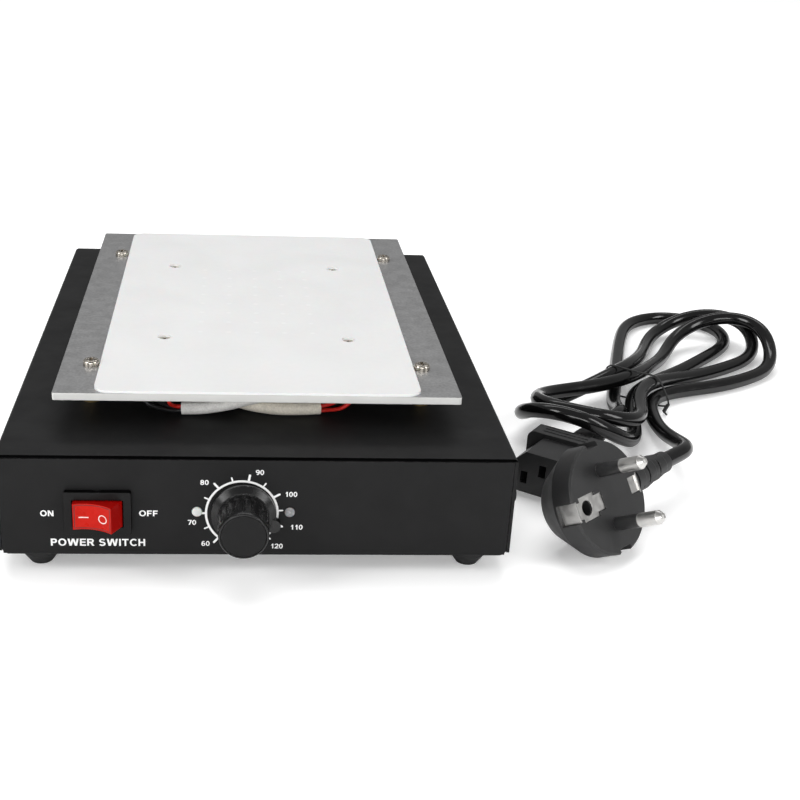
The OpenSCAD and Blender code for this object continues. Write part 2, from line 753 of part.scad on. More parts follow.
module control_board() color("#1f6b3a") difference() {
    translate([board_x, board_y, board_z]) linear_extrude(board_t) round_rect(board_w, board_d, 1.5);
    for (p = board_screw_at)
        translate([p[0], p[1], board_z - 1]) cylinder(d = screw_d + screw_clear, h = board_t + 2);
}

module board_spacers() color("#c2b280") for (p = board_screw_at)
    translate([p[0], p[1], floor_z]) difference() {
        cylinder(d = nut_af / cos(30), h = board_spacer_h, $fn = 6);
        translate([0, 0, -1]) cylinder(d = screw_d, h = board_spacer_h + 2);
    }

module board_screws() color("#c9cacb") for (p = board_screw_at) {
    translate([p[0], p[1], board_top_z]) pan_screw(board_t + board_spacer_h / 2 - 0.3);
    translate([p[0], p[1], tray_z]) mirror([0, 0, 1]) pan_screw(sheet_t + board_spacer_h / 2 - 0.3);
}

module relay() color("#2a4f9e") translate([board_x - 30, board_y - 14, board_top_z])
    difference() {
        translate([0, 0, relay_h / 2]) cube([relay_w, relay_d, relay_h], center = true);
        for (x = [-1, 1]) translate([x * relay_w / 2, 0, relay_h]) rotate([0, 45, 0])
            cube([1, 2 * relay_d, 1], center = true);
    }

module terminal_block() color("#2f7d4a") translate([board_x - 2, board_y + board_d / 2 - 6, board_top_z])
    difference() {
        translate([0, 0, terminal_h / 2])
            cube([terminal_ways * terminal_pitch, 8, terminal_h], center = true);
        for (k = [0 : terminal_ways - 1])
            translate([(k - (terminal_ways - 1) / 2) * terminal_pitch, 0, 0]) {
                translate([0, -0.5, terminal_h - 2]) cylinder(d = 3.8, h = 3);
                translate([0, 3, 4]) cube([3.4, 4, 3.4], center = true);
            }
    }

// Three cans in a row and a film capacitor beside them
can_d = [10, 8, 6.3];
can_h = [16, 12, 11];
can_x = [-14, -2, 8];
film_l = 18;
film_t = 7;
film_h = 12;
film_x = -30;
cap_row_y = 12;

module capacitors() translate([board_x, board_y + cap_row_y, board_top_z]) {
    for (k = [0 : len(can_d) - 1])
        color("#23304f") translate([can_x[k], 0, 0]) round_can(can_d[k], can_h[k]);
    color("#d8b93c") translate([film_x, 0, film_h / 2]) cube([film_l, film_t, film_h], center = true);
}

module round_can(d, h) rotate_extrude() {
    square([d / 2 - 0.6, h]);
    square([d / 2, h - 0.6]);
    translate([d / 2 - 0.6, h - 0.6]) intersection() {
        circle(0.6);
        square(0.6);
    }
}

// Glass fuse in two clips
module board_fuse() translate([board_x + 28, board_y + 20, board_top_z]) {
    color("#dfe6e8") translate([0, 0, 5]) rotate([0, 90, 0]) cylinder(d = 4.6, h = 20, center = true);
    for (x = [-1, 1]) {
        color("#c9cacb") translate([x * 8, 0, 5]) rotate([0, 90, 0]) cylinder(d = 5.2, h = 5, center = true);
        color("#c9cacb") translate([x * 8, 0, 1.4]) cube([4, 3, 2.8], center = true);
    }
}

module heat_sink() color("#8f9194") translate([board_x + 30, board_y - 16, board_top_z]) {
    translate([0, 0, 11]) cube([24, 2, 22], center = true);
    for (k = [0 : 5]) translate([-11 + k * 4.4, -5, 11]) cube([1.2, 8 + eps, 22], center = true);
}

module power_chip() color("#1c1c1d") translate([board_x + 30, board_y - 15 + 2.3, board_top_z]) {
    translate([0, 0, 8 + 4.5]) cube([10, 4.5, 9], center = true);
    color("#c9cacb") translate([0, -1.6, 18.4]) cube([10, 1.2, 3], center = true);
    for (x = [-pin_grid, 0, pin_grid]) color("#c9cacb")
        translate([x, 0, 4]) cube([0.9, 0.6, 8 + 2 * eps], center = true);
}

module logic_chips() translate([board_x, board_y, board_top_z]) {
    for (p = [[-13, -12, 9.6], [5, -12, 19.3]]) translate([p[0], p[1], 0]) {
        color("#1c1c1d") translate([0, 0, 2.4]) cube([p[2], 6.4, 3.3], center = true);
        pins = round(p[2] / pin_grid);
        for (k = [0 : pins - 1], s = [-1, 1]) color("#c9cacb")
            translate([(k - (pins - 1) / 2) * pin_grid, s * 3.5, 1.2]) cube([0.6, 0.6, 2.4], center = true);
    }
}

// Transformer on the tray's floor

module transformer_core() color("#5c5e62") translate([core_x, core_y, floor_z]) difference() {
    foot_l = 9;
    foot_t = core_foot_t;
    union() {
        translate([0, 0, core_h / 2]) cube([core_w, core_d, core_h], center = true);
        for (x = [-1, 1]) translate([x * (core_w / 2 + foot_l / 2), 0, foot_t / 2])
            cube([foot_l + eps, core_d, foot_t], center = true);
    }
    for (x = [-1, 1]) {
        translate([x * (core_w / 2 - core_w / 6 - core_w / 12), 0, core_h / 2])
            cube([core_w / 6, core_d + 2, core_h * 2 / 3], center = true);
        translate([x * core_ear_x, 0, -1]) cylinder(d = screw_d + screw_clear, h = 4);
    }
}

module transformer_coil() color("#e8e2c8") translate([core_x, core_y, floor_z + core_h / 2]) difference() {
    cube([core_w * 2 / 3 - 2 * fit, core_d + 14, core_h * 2 / 3 - 2 * fit], center = true);
    cube([core_w / 3 + 2 * fit, core_d + 0.2, core_h], center = true);
}

module transformer_screws() color("#c9cacb") for (p = core_screw_at) {
    translate([p[0], p[1], tray_z]) mirror([0, 0, 1]) pan_screw(sheet_t + core_foot_t + nut_h);
    translate([p[0], p[1], floor_z + core_foot_t]) hex_nut(nut_af, nut_h, screw_d);
}

// Power inlet in the rear panel

module inlet_housing() color("#151516") translate([inlet_x, rear_y, inlet_z]) difference() {
    union() {
        rotate([-90, 0, 0]) linear_extrude(inlet_flange_t) difference() {
            round_rect(inlet_flange_w, inlet_flange_h, 4);
            for (s = [-1, 1]) translate([s * inlet_screw_dx / 2, 0]) circle(d = screw_d + screw_clear);
        }
        translate([0, -inlet_body_d / 2, 0])
            cube([inlet_body_w, inlet_body_d + eps, inlet_body_h], center = true);
    }
    translate([0, inlet_flange_t + 1, 0]) rotate([90, 0, 0])
        linear_extrude(inlet_deep + 1) polygon(inlet_outline(nose_w + 2 * nose_gap, nose_h + 2 * nose_gap));
    for (b = blade_at) translate([b[0], 0, b[1]])
        cube([b[2] + 2 * fit, 4 * inlet_body_d, b[3] + 2 * fit], center = true);
}

// Socket outline with its two upper corners cut off
function inlet_outline(w, h) = [
    [-w / 2, -h / 2], [w / 2, -h / 2], [w / 2, h / 2 - nose_cut], [w / 2 - nose_cut, h / 2],
    [-w / 2 + nose_cut, h / 2], [-w / 2, h / 2 - nose_cut]
];

module inlet_blades() color("#c9cacb") translate([inlet_x, rear_y, inlet_z])
    for (b = blade_at) translate([b[0], inlet_flange_t - blade_in - blade_l / 2, b[1]])
        cube([b[2], blade_l, b[3]], center = true);

module inlet_screws() color("#2a2a2b") for (s = [-1, 1])
    translate([inlet_x + s * inlet_screw_dx / 2, rear_y + inlet_flange_t, inlet_z]) rotate([-90, 0, 0]) {
        pan_screw(inlet_flange_t + sheet_t + nut_h);
        translate([0, 0, -inlet_flange_t - sheet_t - nut_h]) hex_nut(nut_af, nut_h, screw_d);
    }

module earth_stud() color("#c9b27a") translate([earth_at[0], earth_at[1], 0]) {
    translate([0, 0, tray_z]) mirror([0, 0, 1]) pan_screw(14);
    for (z = [floor_z, earth_lug_z + lug_t + 0.3]) translate([0, 0, z]) hex_nut(nut_af, nut_h, screw_d);
    translate([0, 0, earth_lug_z]) difference() {
        union() {
            cylinder(d = 7.5, h = lug_t);
            translate([0, 5, lug_t / 2]) cube([4, 6, lug_t], center = true);
        }
        translate([0, 0, -1]) cylinder(d = screw_d, h = 3);
    }
}

module inner_wires() for (w = inner_wire_points)
    color(w[0]) swept_tube(path_points(w[1], 2), wire_d, 8);

// Mains lead, unplugged and tied, on the ground beside the machine

module mains_lead() color("#1a1a1b") {
    n = len(cord_points) - 1;
    at = concat([0], [for (i = [0 : cord_rings]) 0.2 + i * (n - 0.4) / cord_rings], [n]);
    swept_tube([for (s = at) spline_at(cord_points, s)], cord_d, 8);
}

// Moulded sleeve round the lead, from x = 0 to the given length. It narrows in
// steps, and pairs of slots cut it to its core, above and below and then on its sides.
module slotted_sleeve(length, d1, d2) {
    core = cord_d / 2 + 0.5;
    count = round((length - sleeve_root) / slot_pitch);
    steps = [for (k = [0 : count]) d1 / 2 - (d1 - d2) / 2 * k / count];
    ends = [for (k = [0 : count]) sleeve_root + (length - sleeve_root) * k / count];
    difference() {
        rotate([0, 90, 0]) rotate_extrude() polygon(concat(
            [[0, 0], [steps[0], 0], [steps[0], ends[0]]],
            [for (k = [1 : count], e = [0, 1]) [steps[k], ends[k - 1 + e]]],
            [[0, length]]
        ));
        for (k = [0 : count - 1], s = [0, 1])
            translate([ends[k] - slot_w, 0, 0]) rotate([90 * (k % 2) + 180 * s, 0, 0])
                translate([0, -d1, core]) cube([slot_w, 2 * d1, d1]);
    }
}

// Runs from its face towards +X, lying flat: the nose, a shoulder and a grip
// that narrows to the sleeve
module lead_connector() color("#18181a") on_connector() difference() {
    union() {
        rotate([90, 0, 90]) linear_extrude(nose_l + eps) polygon(inlet_outline(nose_w, nose_h));
        translate([nose_l, 0, 0]) intersection() {
            rotate([90, 0, 90]) linear_extrude(grip_l) round_rect(conn_w, conn_h, 3);
            linear_extrude(conn_h, center = true) polygon(grip_outline(conn_w, conn_relief_d + 3));
            rotate([90, 0, 0]) linear_extrude(conn_w, center = true)
                polygon(grip_outline(conn_h, conn_relief_d + 1));
        }
    }
    for (b = blade_at) translate([-1, b[0], b[1]]) rotate([90, 0, 90])
        linear_extrude(nose_l) square([b[2] + 2 * slot_gap, b[3] + 2 * slot_gap], center = true);
    for (z = [-1, 1], k = [0 : 2])
        translate([nose_l + 2.6 + 2.4 * k, 0, z * conn_h / 2]) cube([1, conn_w - 10, 0.8], center = true);
}

// Half the grip keeps its full width, and the rest narrows to the given end
function grip_outline(w, w_end) = [
    [0, -w / 2], [grip_l / 2, -w / 2], [grip_l, -w_end / 2],
    [grip_l, w_end / 2], [grip_l / 2, w / 2], [0, w / 2]
];

module connector_relief() color("#18181a") on_connector() translate([nose_l + grip_l, 0, 0])
    slotted_sleeve(conn_relief_l, conn_relief_d, cord_d + 2);

module on_connector() translate([conn_at[0], conn_at[1], conn_z]) rotate(hank_angle) children();

// Wire round the strands where the hank is tied, its two ends twisted together
module lead_tie() color("#111112")
    swept_tube([for (p = path_points(tie_points, 2)) on_ground(p)], tie_d, 6);

// Face in XY looking up, back below it, the lead's sleeve towards +X
module on_plug() translate(plug_at) rotate([90 - plug_tilt, 0, plug_turn]) children();

module plug_body() color("#18181a") on_plug() difference() {
    union() {
        rotate_extrude($fn = 96) polygon([
            [0, -plug_l], [plug_back_d / 2 - 1, -plug_l], [plug_back_d / 2, 1 - plug_l],
            [plug_d / 2, -plug_rim], [plug_d / 2, -0.6], [plug_d / 2 - 0.6, 0], [0, 0]
        ]);
        translate([0, 0, boss_z]) rotate([0, 90, 0]) cylinder(d = boss_d, h = plug_d / 2 + boss_out);
    }
    for (s = [-1, 1]) {
        translate([0, s * pin_pitch / 2, -pin_root]) cylinder(d = pin_root_d, h = pin_root + 1);
        translate([s * plug_d / 2, 0, 0])
            cube([2 * strip_in, strip_w + 2 * fit, 2 * plug_rim - 2], center = true);
        translate([0, s * plug_d / 2, 0]) cube([guide_w, 2 * guide_in, 3 * plug_rim], center = true);
    }
    translate([earth_hole_x, 0, earth_hole_z]) cylinder(d = earth_hole_d, h = plug_l);
    translate([0, 0, -pocket_deep]) linear_extrude(plug_rim) {
        offset_outline(earth_plate, fit);
        offset_outline(clip_plate, fit);
    }
}

module plug_relief() color("#18181a") on_plug() translate([plug_d / 2 + boss_out, 0, boss_z])
    slotted_sleeve(plug_relief_l, boss_d - 1, cord_d + 2);

module plug_pins() color("#d5d6d8") on_plug() for (s = [-1, 1])
    translate([0, s * pin_pitch / 2, 0]) rotate_extrude() polygon([
        [0, -pin_root], [pin_root_d / 2, -pin_root], [pin_root_d / 2, 0], [pin_d / 2, 0],
        [pin_d / 2, pin_l - 2], [pin_d / 2 - 1.2, pin_l - 0.4], [pin_d / 2 - 1.8, pin_l], [0, pin_l]
    ]);

// Sprung earth strips in the two notches of the rim. Each turns in over the face,
// one to a window near the rim and one to the plate round the earth hole.
module plug_earth_strips() color("#d5d6d8") on_plug() {
    for (s = [-1, 1]) translate([s * (plug_d / 2 - strip_in + strip_t / 2), 0, -(plug_rim - 1) / 2])
        cube([strip_t, strip_w, plug_rim - 1], center = true);
    translate([0, 0, -pocket_deep + 0.1]) linear_extrude(strip_t) {
        offset_outline(clip_plate, 0);
        difference() {
            offset_outline(earth_plate, 0);
            translate([earth_hole_x, 0]) circle(d = earth_hole_d);
        }
    }
}

// Rectangles [x from, x to, width] side by side, each grown by the given gap
module offset_outline(rows, gap) for (r = rows)
    translate([r[0] - gap, -r[2] / 2 - gap]) square([r[1] - r[0] + 2 * gap, r[2] + 2 * gap]);

// Places inside

csk_d = 5.6;
csk_h = 1.5;
heater_front = plate_y - heater_d / 2 - 0.1;
grommet_hole_d = 9.4;
grommet_d = 6.8;
grommet_x = 14;
grommet_y = heater_front + 3.7;
grommet_mid_y = grommet_y + 10;
grommet_at = [[-grommet_x, grommet_y], [grommet_x, grommet_y], [0, grommet_mid_y]];
latch_w = 6;
latch_l = 5;
latch_out = 0.9;
tag_pitch = 6.5;
tag_l = 8;
tag_w = 4.8;
tag_t = 0.8;
lamp_flange_t = 1;
lamp_dome = 0.35;
probe_x = 6;
probe_y = plate_y - 20;
fuse_x = -20;
bush_out = 3.2;
dial_nut_h = 2;
shaft_out = 13;
shaft_flat = 1.4;
hollow_d = 13.6;
hollow_h = 3.4;
cap_t = 1.2;
cap_d = 14.3;
rim_l = 1.4;          // length of the knob's rounded rim, and its depth
rim_in = 0.5;
seat_gap = 0.02;      // between a leg and the board that it stands on
pin_grid = 2.54;
board_x = 9;
board_y = front_y + 5 + board_d / 2;
board_z = floor_z + board_spacer_h;
board_top_z = board_z + board_t;
board_screw_in = 4.5;
board_screw_at = [for (x = [-1, 1], y = [-1, 1])
    [board_x + x * (board_w / 2 - board_screw_in), board_y + y * (board_d / 2 - board_screw_in)]];
relay_w = 19.2;
relay_d = 15.4;
relay_h = 15.4;
terminal_ways = 6;
terminal_pitch = 5.08;
terminal_h = 10;
core_x = 34;
core_y = board_y + board_d / 2 + 24;
core_foot_t = 1.2;
core_ear_x = core_w / 2 + 5;
core_screw_at = [for (x = [-1, 1]) [core_x + x * core_ear_x, core_y]];
vent_count = 6;
vent_pitch = 7;
vent_l = 26;
vent_w = 3;
vent_x = tray_w / 2 - 29.3;
vent_y = rear_y - 68;
inlet_z = tray_z + 17;
inlet_flange_w = 50;
inlet_flange_h = 22.6;
inlet_body_w = 27.2;
inlet_body_h = 19.4;
inlet_body_d = 18;
inlet_deep = 17;
inlet_screw_dx = 40;
blade_l = 26;
blade_in = 1.5;       // from the flange's face to the blades' tips
blade_at = [[-7, -2, 2, 4], [7, -2, 2, 4], [0, 2, 2, 4]];
earth_at = [inlet_x + 26, rear_y - 34];
earth_lug_z = floor_z + nut_h + 0.1;
lug_t = 1;

// The two sleeves lie side by side in front of the heater, along bundle_y, and
// turn down into their grommets.
sleeve_z = top_z + sleeve_d / 2 + 0.1;
bundle_gap = 11.3;
bundle_y = heater_front - bundle_gap;
sleeve_in = 6;
grommet_end = roof_z - sleeve_in;
sleeve_left_points = [
    [-25.5, bundle_y, sleeve_z], [-18, bundle_y - 0.4, sleeve_z + 0.5],
    [-10, bundle_y - 0.6, sleeve_z + 2], [-3, bundle_y - 0.4, sleeve_z + 3.8],
    [3, bundle_y + 0.4, sleeve_z + 5], [9, bundle_y + 2.8, sleeve_z + 4.4],
    [grommet_x - 1, grommet_y - 8, sleeve_z + 2.4], [grommet_x, grommet_y - 3.2, sleeve_z + 1.6],
    [grommet_x, grommet_y - 0.4, top_z + 1], [grommet_x, grommet_y, roof_z - 1.6],
    [grommet_x, grommet_y, grommet_end]
];
sleeve_right_points = [
    [21, bundle_y + 1.5, sleeve_z], [14, bundle_y + 0.6, sleeve_z], [7, bundle_y + 0.6, sleeve_z],
    [1, bundle_y + 2.2, sleeve_z], [-5, bundle_y + 4.6, sleeve_z + 0.3], [-11, bundle_y + 8, sleeve_z + 1.2],
    [-grommet_x, grommet_y - 3.4, sleeve_z + 1.4], [-grommet_x, grommet_y - 0.6, top_z + 0.8],
    [-grommet_x, grommet_y, roof_z - 1.6], [-grommet_x, grommet_y, grommet_end]
];
lead_z = plate_z - heater_t / 2;
// A lead's last points, inside a sleeve's open end
function inside(p, dy, dz) = [for (k = [-0.25, 0.1, 0.6]) along(p, k) + [0, dy, dz]];
red_lead_points = [
    concat([[-28, heater_front, lead_z], [-29, bundle_y + 1, sleeve_z + 6],
        [-29.6, bundle_y - 2, sleeve_z + 3]], inside(sleeve_left_points, 0, 0.8)),
    concat([[28, heater_front, lead_z], [28.4, bundle_y + 3, sleeve_z + 5.6],
        [26.4, bundle_y + 1, sleeve_z + 2.8]], inside(sleeve_right_points, 0.2, 0.8)),
    concat([[32, heater_front, lead_z], [32.4, bundle_y + 1, sleeve_z + 5],
        [28.4, bundle_y - 1.2, sleeve_z + 1.4]], inside(sleeve_right_points, -0.2, -0.8))
];
black_lead_points = [
    concat([[-38, heater_front, lead_z], [-38.6, bundle_y, sleeve_z + 6],
        [-36.6, bundle_y - 4, sleeve_z + 3.4], [-31.4, bundle_y - 2.4, sleeve_z + 0.6]],
        inside(sleeve_left_points, -0.75, -0.45)),
    concat([[-34, heater_front, lead_z], [-34.4, bundle_y + 2, sleeve_z + 6],
        [-34, bundle_y - 1, sleeve_z + 3.6], [-30.4, bundle_y + 0.2, sleeve_z + 0.8]],
        inside(sleeve_left_points, 0.75, -0.45))
];

// Wires on the tray's floor: live and neutral along the left side to the switch,
// and earth to its stud
inlet_back_y = rear_y - blade_l + inlet_flange_t - blade_in;
wire_gap = 0.25;
wire_d = 1.8;
switch_back_y = front_y + switch_body_d + tag_l + wire_gap;
wire_side_x = 15.3 - tray_w / 2;
wire_z = floor_z + 6;
inner_wire_points = [
    ["saddlebrown", [
        [inlet_x - 7, inlet_back_y - wire_gap, inlet_z - 2],
        [inlet_x - 7, inlet_back_y - 8, inlet_z - 2],
        [inlet_x - 9, rear_y - 53, wire_z + 2], [wire_side_x + 4, rear_y - 93, wire_z],
        [wire_side_x, front_y + 73, wire_z], [switch_x - 9.4, switch_back_y + 16, control_z - 2.2],
        [switch_x - tag_pitch, switch_back_y + 6, control_z],
        [switch_x - tag_pitch, switch_back_y, control_z]]],
    ["royalblue", [
        [inlet_x + 7, inlet_back_y - wire_gap, inlet_z - 2],
        [inlet_x + 7, inlet_back_y - 8, inlet_z - 2],
        [inlet_x + 6, rear_y - 63, wire_z + 1], [wire_side_x + 20, rear_y - 103, wire_z - 1],
        [wire_side_x + 20, front_y + 63, wire_z], [switch_x + 1, switch_back_y + 16, control_z - 3.2],
        [switch_x, switch_back_y + 6, control_z], [switch_x, switch_back_y, control_z]]],
    ["yellowgreen", [
        [inlet_x, inlet_back_y - wire_gap, inlet_z + 2], [inlet_x, inlet_back_y - 6, inlet_z + 3],
        [inlet_x + 9, inlet_back_y - 10, inlet_z + 4], [earth_at[0] - 4, earth_at[1] + 9, 19],
        [earth_at[0], earth_at[1] + 6, 15], [earth_at[0], earth_at[1] + 6, earth_lug_z + lug_t + wire_gap]]]
];

// Places of the lead. Hank points are [along, across, height] from its tie.

ground_gap = 0.1;
hank_at = [case_w / 2 + hank_x, front_y + hank_y];
nose_w = 24;
nose_h = 16.2;
nose_cut = 5;
nose_gap = 0.2;       // between the nose and the inlet's cavity
slot_gap = 0.35;      // between a blade and its slot
sleeve_root = 4;
slot_pitch = 4;
slot_w = 1.4;
conn_relief_d = 11;
conn_z = conn_h / 2 + ground_gap;
conn_across = -10;
conn_relief_end = -54;
conn_end = conn_relief_end - conn_relief_l - grip_l - nose_l;
conn_at = on_ground([conn_end, conn_across, 0]);
pin_pitch = 19;
pin_root = 6;
pin_root_d = pin_d - 1;
strip_t = 0.6;
strip_w = 7;
strip_in = 2.4;
strip_end = plug_d / 2 - strip_in + strip_t;
guide_w = 6;
guide_in = 2;
pocket_deep = 1.2;
earth_hole_x = -12;
earth_hole_z = -14;
// Plates over the face, as rectangles [x from, x to, width]
clip_plate = [[strip_end - 5.2, strip_end, 5.7]];
earth_plate = [
    [-strip_end, earth_hole_x - 3.5, 5.6],
    [earth_hole_x - 3.5, earth_hole_x + 5, 8.4],
    [earth_hole_x + 5, earth_hole_x + 8.8, 5.8]
];
boss_d = 14;
boss_z = -10;
boss_out = 1;
plug_from_tie = [-48, -135.5];
plug_turn = hank_angle - 12;
plug_tilt = atan((plug_d - plug_back_d) / 2 / (plug_l - plug_rim));
plug_at = [
    hank_at[0] + plug_from_tie[0],
    hank_at[1] + plug_from_tie[1],
    plug_rim * sin(plug_tilt) + plug_d / 2 * cos(plug_tilt) + ground_gap
];
plug_axis = [cos(plug_tilt) * sin(plug_turn), -cos(plug_tilt) * cos(plug_turn), sin(plug_tilt)];
plug_way = [cos(plug_turn), sin(plug_turn), 0];
plug_cord = plug_at + boss_z * plug_axis + (plug_d / 2 + boss_out + plug_relief_l) * plug_way;
cord_rings = 78;

function on_ground(p) = [
    hank_at[0] + p[0] * cos(hank_angle) - p[1] * sin(hank_angle),
    hank_at[1] + p[0] * sin(hank_angle) + p[1] * cos(hank_angle),
    p[2]
];

// Half a turn at a loop's end: to +X when way is 1, to -X when it is -1
function turn(way, along, across, r, z) = [for (k = [0 : 3])
    [along + way * r * sin(60 * k), across + way * r * cos(60 * k), z[k]]];

low = cord_d / 2 + ground_gap;
tied_low = 4.7;
tied_high = 10.9;
cord_points = concat(
    [for (p = concat(
        // From the connector through the tie
        [[conn_relief_end, conn_across, conn_z], [conn_relief_end + 8, conn_across, conn_z],
            [conn_relief_end + 16, conn_across, conn_z], [-27, -5, 5], [-14, 3, low], [0, 7.3, tied_low],
            [34, 20, low], [66, 31, low]],
        turn(1, 91, 11, 26.4, [low, low, low, low]),
        [[66, -12, low], [34, -8, low], [0, 0, tied_low], [-22, -9, low]],
        turn(-1, -60, 0, 27, [4.5, 23.6, 21, 4.6]),
        [[-24, 17, 6.2], [0, 6.5, tied_high + 1.3], [32, 8.5, 7.5], [60, 16, low]],
        turn(1, 84, -5, 26.4, [low, 11, 12.5, low]),
        [[60, -25, low], [32, -17, 4.5], [0, -7, tied_high], [-22, -10, 10.6]],
        turn(-1, -50, 0, 25, [12.5, 19.8, 18.5, 12.6]),
        [[-22, 7.5, 11], [0, 0, tied_high], [30, 2, 6], [54, 4, low]],
        turn(1, 75, -17, 25, [7, 15, 16, low]),
        // Through the tie for the last time, to the plug
        [[54, -38, low], [30, -28, low], [0, -7.5, tied_low], [-20, -17, low], [-40, -30, 5]]
    )) on_ground(p)],
    [plug_cord + 20 * plug_way, plug_cord + 10 * plug_way, plug_cord]
);

// Places of the tie, as [along, across, height] too: two twisted ends, and the
// way round the strands between them
tail_at = [-1.6, -17.9, 2.9];
tail_way = [-7, -0.6, -0.9];
tail_r = 0.6 * tie_d;
tail_turns = 2.5;
tail_steps = 15;
function tail_point(k, a) = let (
    turned = a + 360 * tail_turns * k / tail_steps
) tail_at + tail_way * k / tail_steps + tail_r * [0, cos(turned), sin(turned)];
tie_points = concat(
    [[-10.4, -20.6, 1.6], [-9.6, -19.2, 2.3]],
    [for (k = [tail_steps : -1 : 0]) tail_point(k, -90)],
    [
        [-0.6, -16.2, 1.3], [0, -13, 0.55], [0, -6, 0.5], [0, 2, 0.5], [0, 7.6, 0.5], [0, 10.6, 1.7],
        [0, 11.8, 5.4], [0, 12.4, 9.6], [0, 11.7, 12.5], [0, 9.2, 13.8], [0, 4, 13.6], [0, -3, 13.5],
        [0, -9.3, 13.5], [0, -12, 12.2], [0, -14.6, 8.6], [-0.6, -17.2, 4.6]
    ],
    [for (k = [0 : tail_steps]) tail_point(k, 90)]
);

base_tray();
top_cover();
cover_screws();
rubber_feet();
heating_plate();
silicone_mat();
plate_screws();
plate_spacers();
spacer_screws();
heater_element();
heater_clamp();
clamp_screws();
clamp_nuts();
temperature_probe();
thermal_fuse();
cable_grommets();
sleeve_left();
sleeve_right();
red_leads();
black_leads();
switch_housing();
switch_terminals();
rocker();
dial_control();
dial_nut();
dial_shaft();
knob();
knob_cap();
lamp_left();
lamp_right();
control_board();
board_spacers();
board_screws();
relay();
terminal_block();
capacitors();
board_fuse();
heat_sink();
power_chip();
logic_chips();
transformer_core();
transformer_coil();
transformer_screws();
inlet_housing();
inlet_blades();
inlet_screws();
earth_stud();
inner_wires();
mains_lead();
lead_connector();
connector_relief();
lead_tie();
plug_body();
plug_relief();
plug_pins();
plug_earth_strips();
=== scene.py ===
"""Looks of a bench heating plate for phone screens, with its mains lead beside it."""

import json
import math

import bmesh
import bpy
from mathutils import Matrix, Vector


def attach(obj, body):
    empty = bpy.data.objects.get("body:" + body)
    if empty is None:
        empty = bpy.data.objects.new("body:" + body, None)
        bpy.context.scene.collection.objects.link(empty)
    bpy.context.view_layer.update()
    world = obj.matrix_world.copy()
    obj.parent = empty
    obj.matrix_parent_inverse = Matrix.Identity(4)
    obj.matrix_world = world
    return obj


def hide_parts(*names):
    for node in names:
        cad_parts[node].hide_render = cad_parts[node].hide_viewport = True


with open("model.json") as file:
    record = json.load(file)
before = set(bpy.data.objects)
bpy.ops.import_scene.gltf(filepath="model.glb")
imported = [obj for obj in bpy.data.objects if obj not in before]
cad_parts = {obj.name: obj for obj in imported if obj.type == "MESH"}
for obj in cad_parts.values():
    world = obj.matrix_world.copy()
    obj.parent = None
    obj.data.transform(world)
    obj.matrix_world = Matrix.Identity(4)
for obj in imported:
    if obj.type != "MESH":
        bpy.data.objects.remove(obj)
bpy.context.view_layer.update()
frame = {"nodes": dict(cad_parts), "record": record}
NODES = frame["nodes"]
MM = 0.001


# Places in the model, in mm

CASE_W, CASE_D = 165.0, 226.0
FRONT_Y = -107.225    # face of the panel
TRAY_Z = 6.0    # underside of the tray
TOP_Z = 41.5    # top of the cover
ROOF_Z = 40.5    # underside of the cover's top
PLATE_Y = 7.175    # middle of the plate
PLATE_Z = 51.5    # underside of the plate
HEATER_L, HEATER_T = 140, 1.6
CLAMP_Z = 48.7    # underside of the heater's clamp
PROBE_Y = PLATE_Y - 20
SWITCH_X = -50.6
DIAL_AT = Vector((-4.7, FRONT_Y, 22.2))
INLET_X, INLET_Y, INLET_Z = -40.0, FRONT_Y + CASE_D, 23.0
BOARD_X = 9.0


# Camera, lights and floor

CAMERA_AT = Vector((-9.13, -474.69, 216.51)) * MM
CAMERA_LENS = 58.379
SENSOR_WIDTH = 36
CAMERA_SHIFT = (0.1, 0.009)
CAMERA_PITCH = 23.164
CAMERA_YAW = -4.282
CAMERA_ROLL = 2.352
CLIP_START = 0.01

# Soft boxes that face the object: place in metres, width and height, and watts
SOFT_BOXES = {
    "left": ((-1.1, -0.5, 0.8), (0.5, 0.9), 8),
    "right": ((1.1, -0.6, 0.8), (0.4, 0.9), 6),
    "front": ((-0.2, -1.6, 0.5), (1.4, 0.4), 10),
    "back": ((0.1, 0.9, 1.2), (1.4, 0.2), 3),
}
SKY_STRENGTH = 1.6
SKY_ANGLE = 45
SKY_WAY = (0.05, -0.35, -1)
WORLD_FILL = 0.35
FLOOR_HALF = 6.0
FLOOR_DROP = 0.1 * MM
FLOOR_COLOUR = 0.9
FLOOR_LIFT = 0.27    # what the camera sees on top of the lit floor


def linked(name, data):
    """New object in the scene."""
    obj = bpy.data.objects.new(name, data)
    bpy.context.scene.collection.objects.link(obj)
    return obj


def make_camera():
    data = bpy.data.cameras.new("camera")
    data.lens = CAMERA_LENS
    data.sensor_width = SENSOR_WIDTH
    data.shift_x, data.shift_y = CAMERA_SHIFT
    data.clip_start = CLIP_START
    camera = linked("camera", data)
    turn = Matrix.Rotation(math.radians(CAMERA_YAW), 4, "Z")
    lean = Matrix.Rotation(math.radians(90 - CAMERA_PITCH), 4, "X")
    roll = Matrix.Rotation(math.radians(CAMERA_ROLL), 4, "Z")
    camera.matrix_world = Matrix.Translation(CAMERA_AT) @ turn @ lean @ roll
    bpy.context.scene.camera = camera


def add_light(name, kind, way, strength):
    """Light that shines along a direction."""
    data = bpy.data.lights.new(name, kind)
    data.energy = strength
    light = linked(name, data)
    light.rotation_mode = "QUATERNION"
    light.rotation_quaternion = Vector(way).to_track_quat("-Z", "Y")
    return light


def make_lights():
    for name, (at, size, watts) in SOFT_BOXES.items():
        light = add_light(name, "AREA", -Vector(at), watts)
        light.location = at
        light.data.shape = "RECTANGLE"
        light.data.size, light.data.size_y = size
    sky = add_light("soft_sky", "SUN", SKY_WAY, SKY_STRENGTH)
    sky.data.angle = math.radians(SKY_ANGLE)
    sky.visible_glossy = False


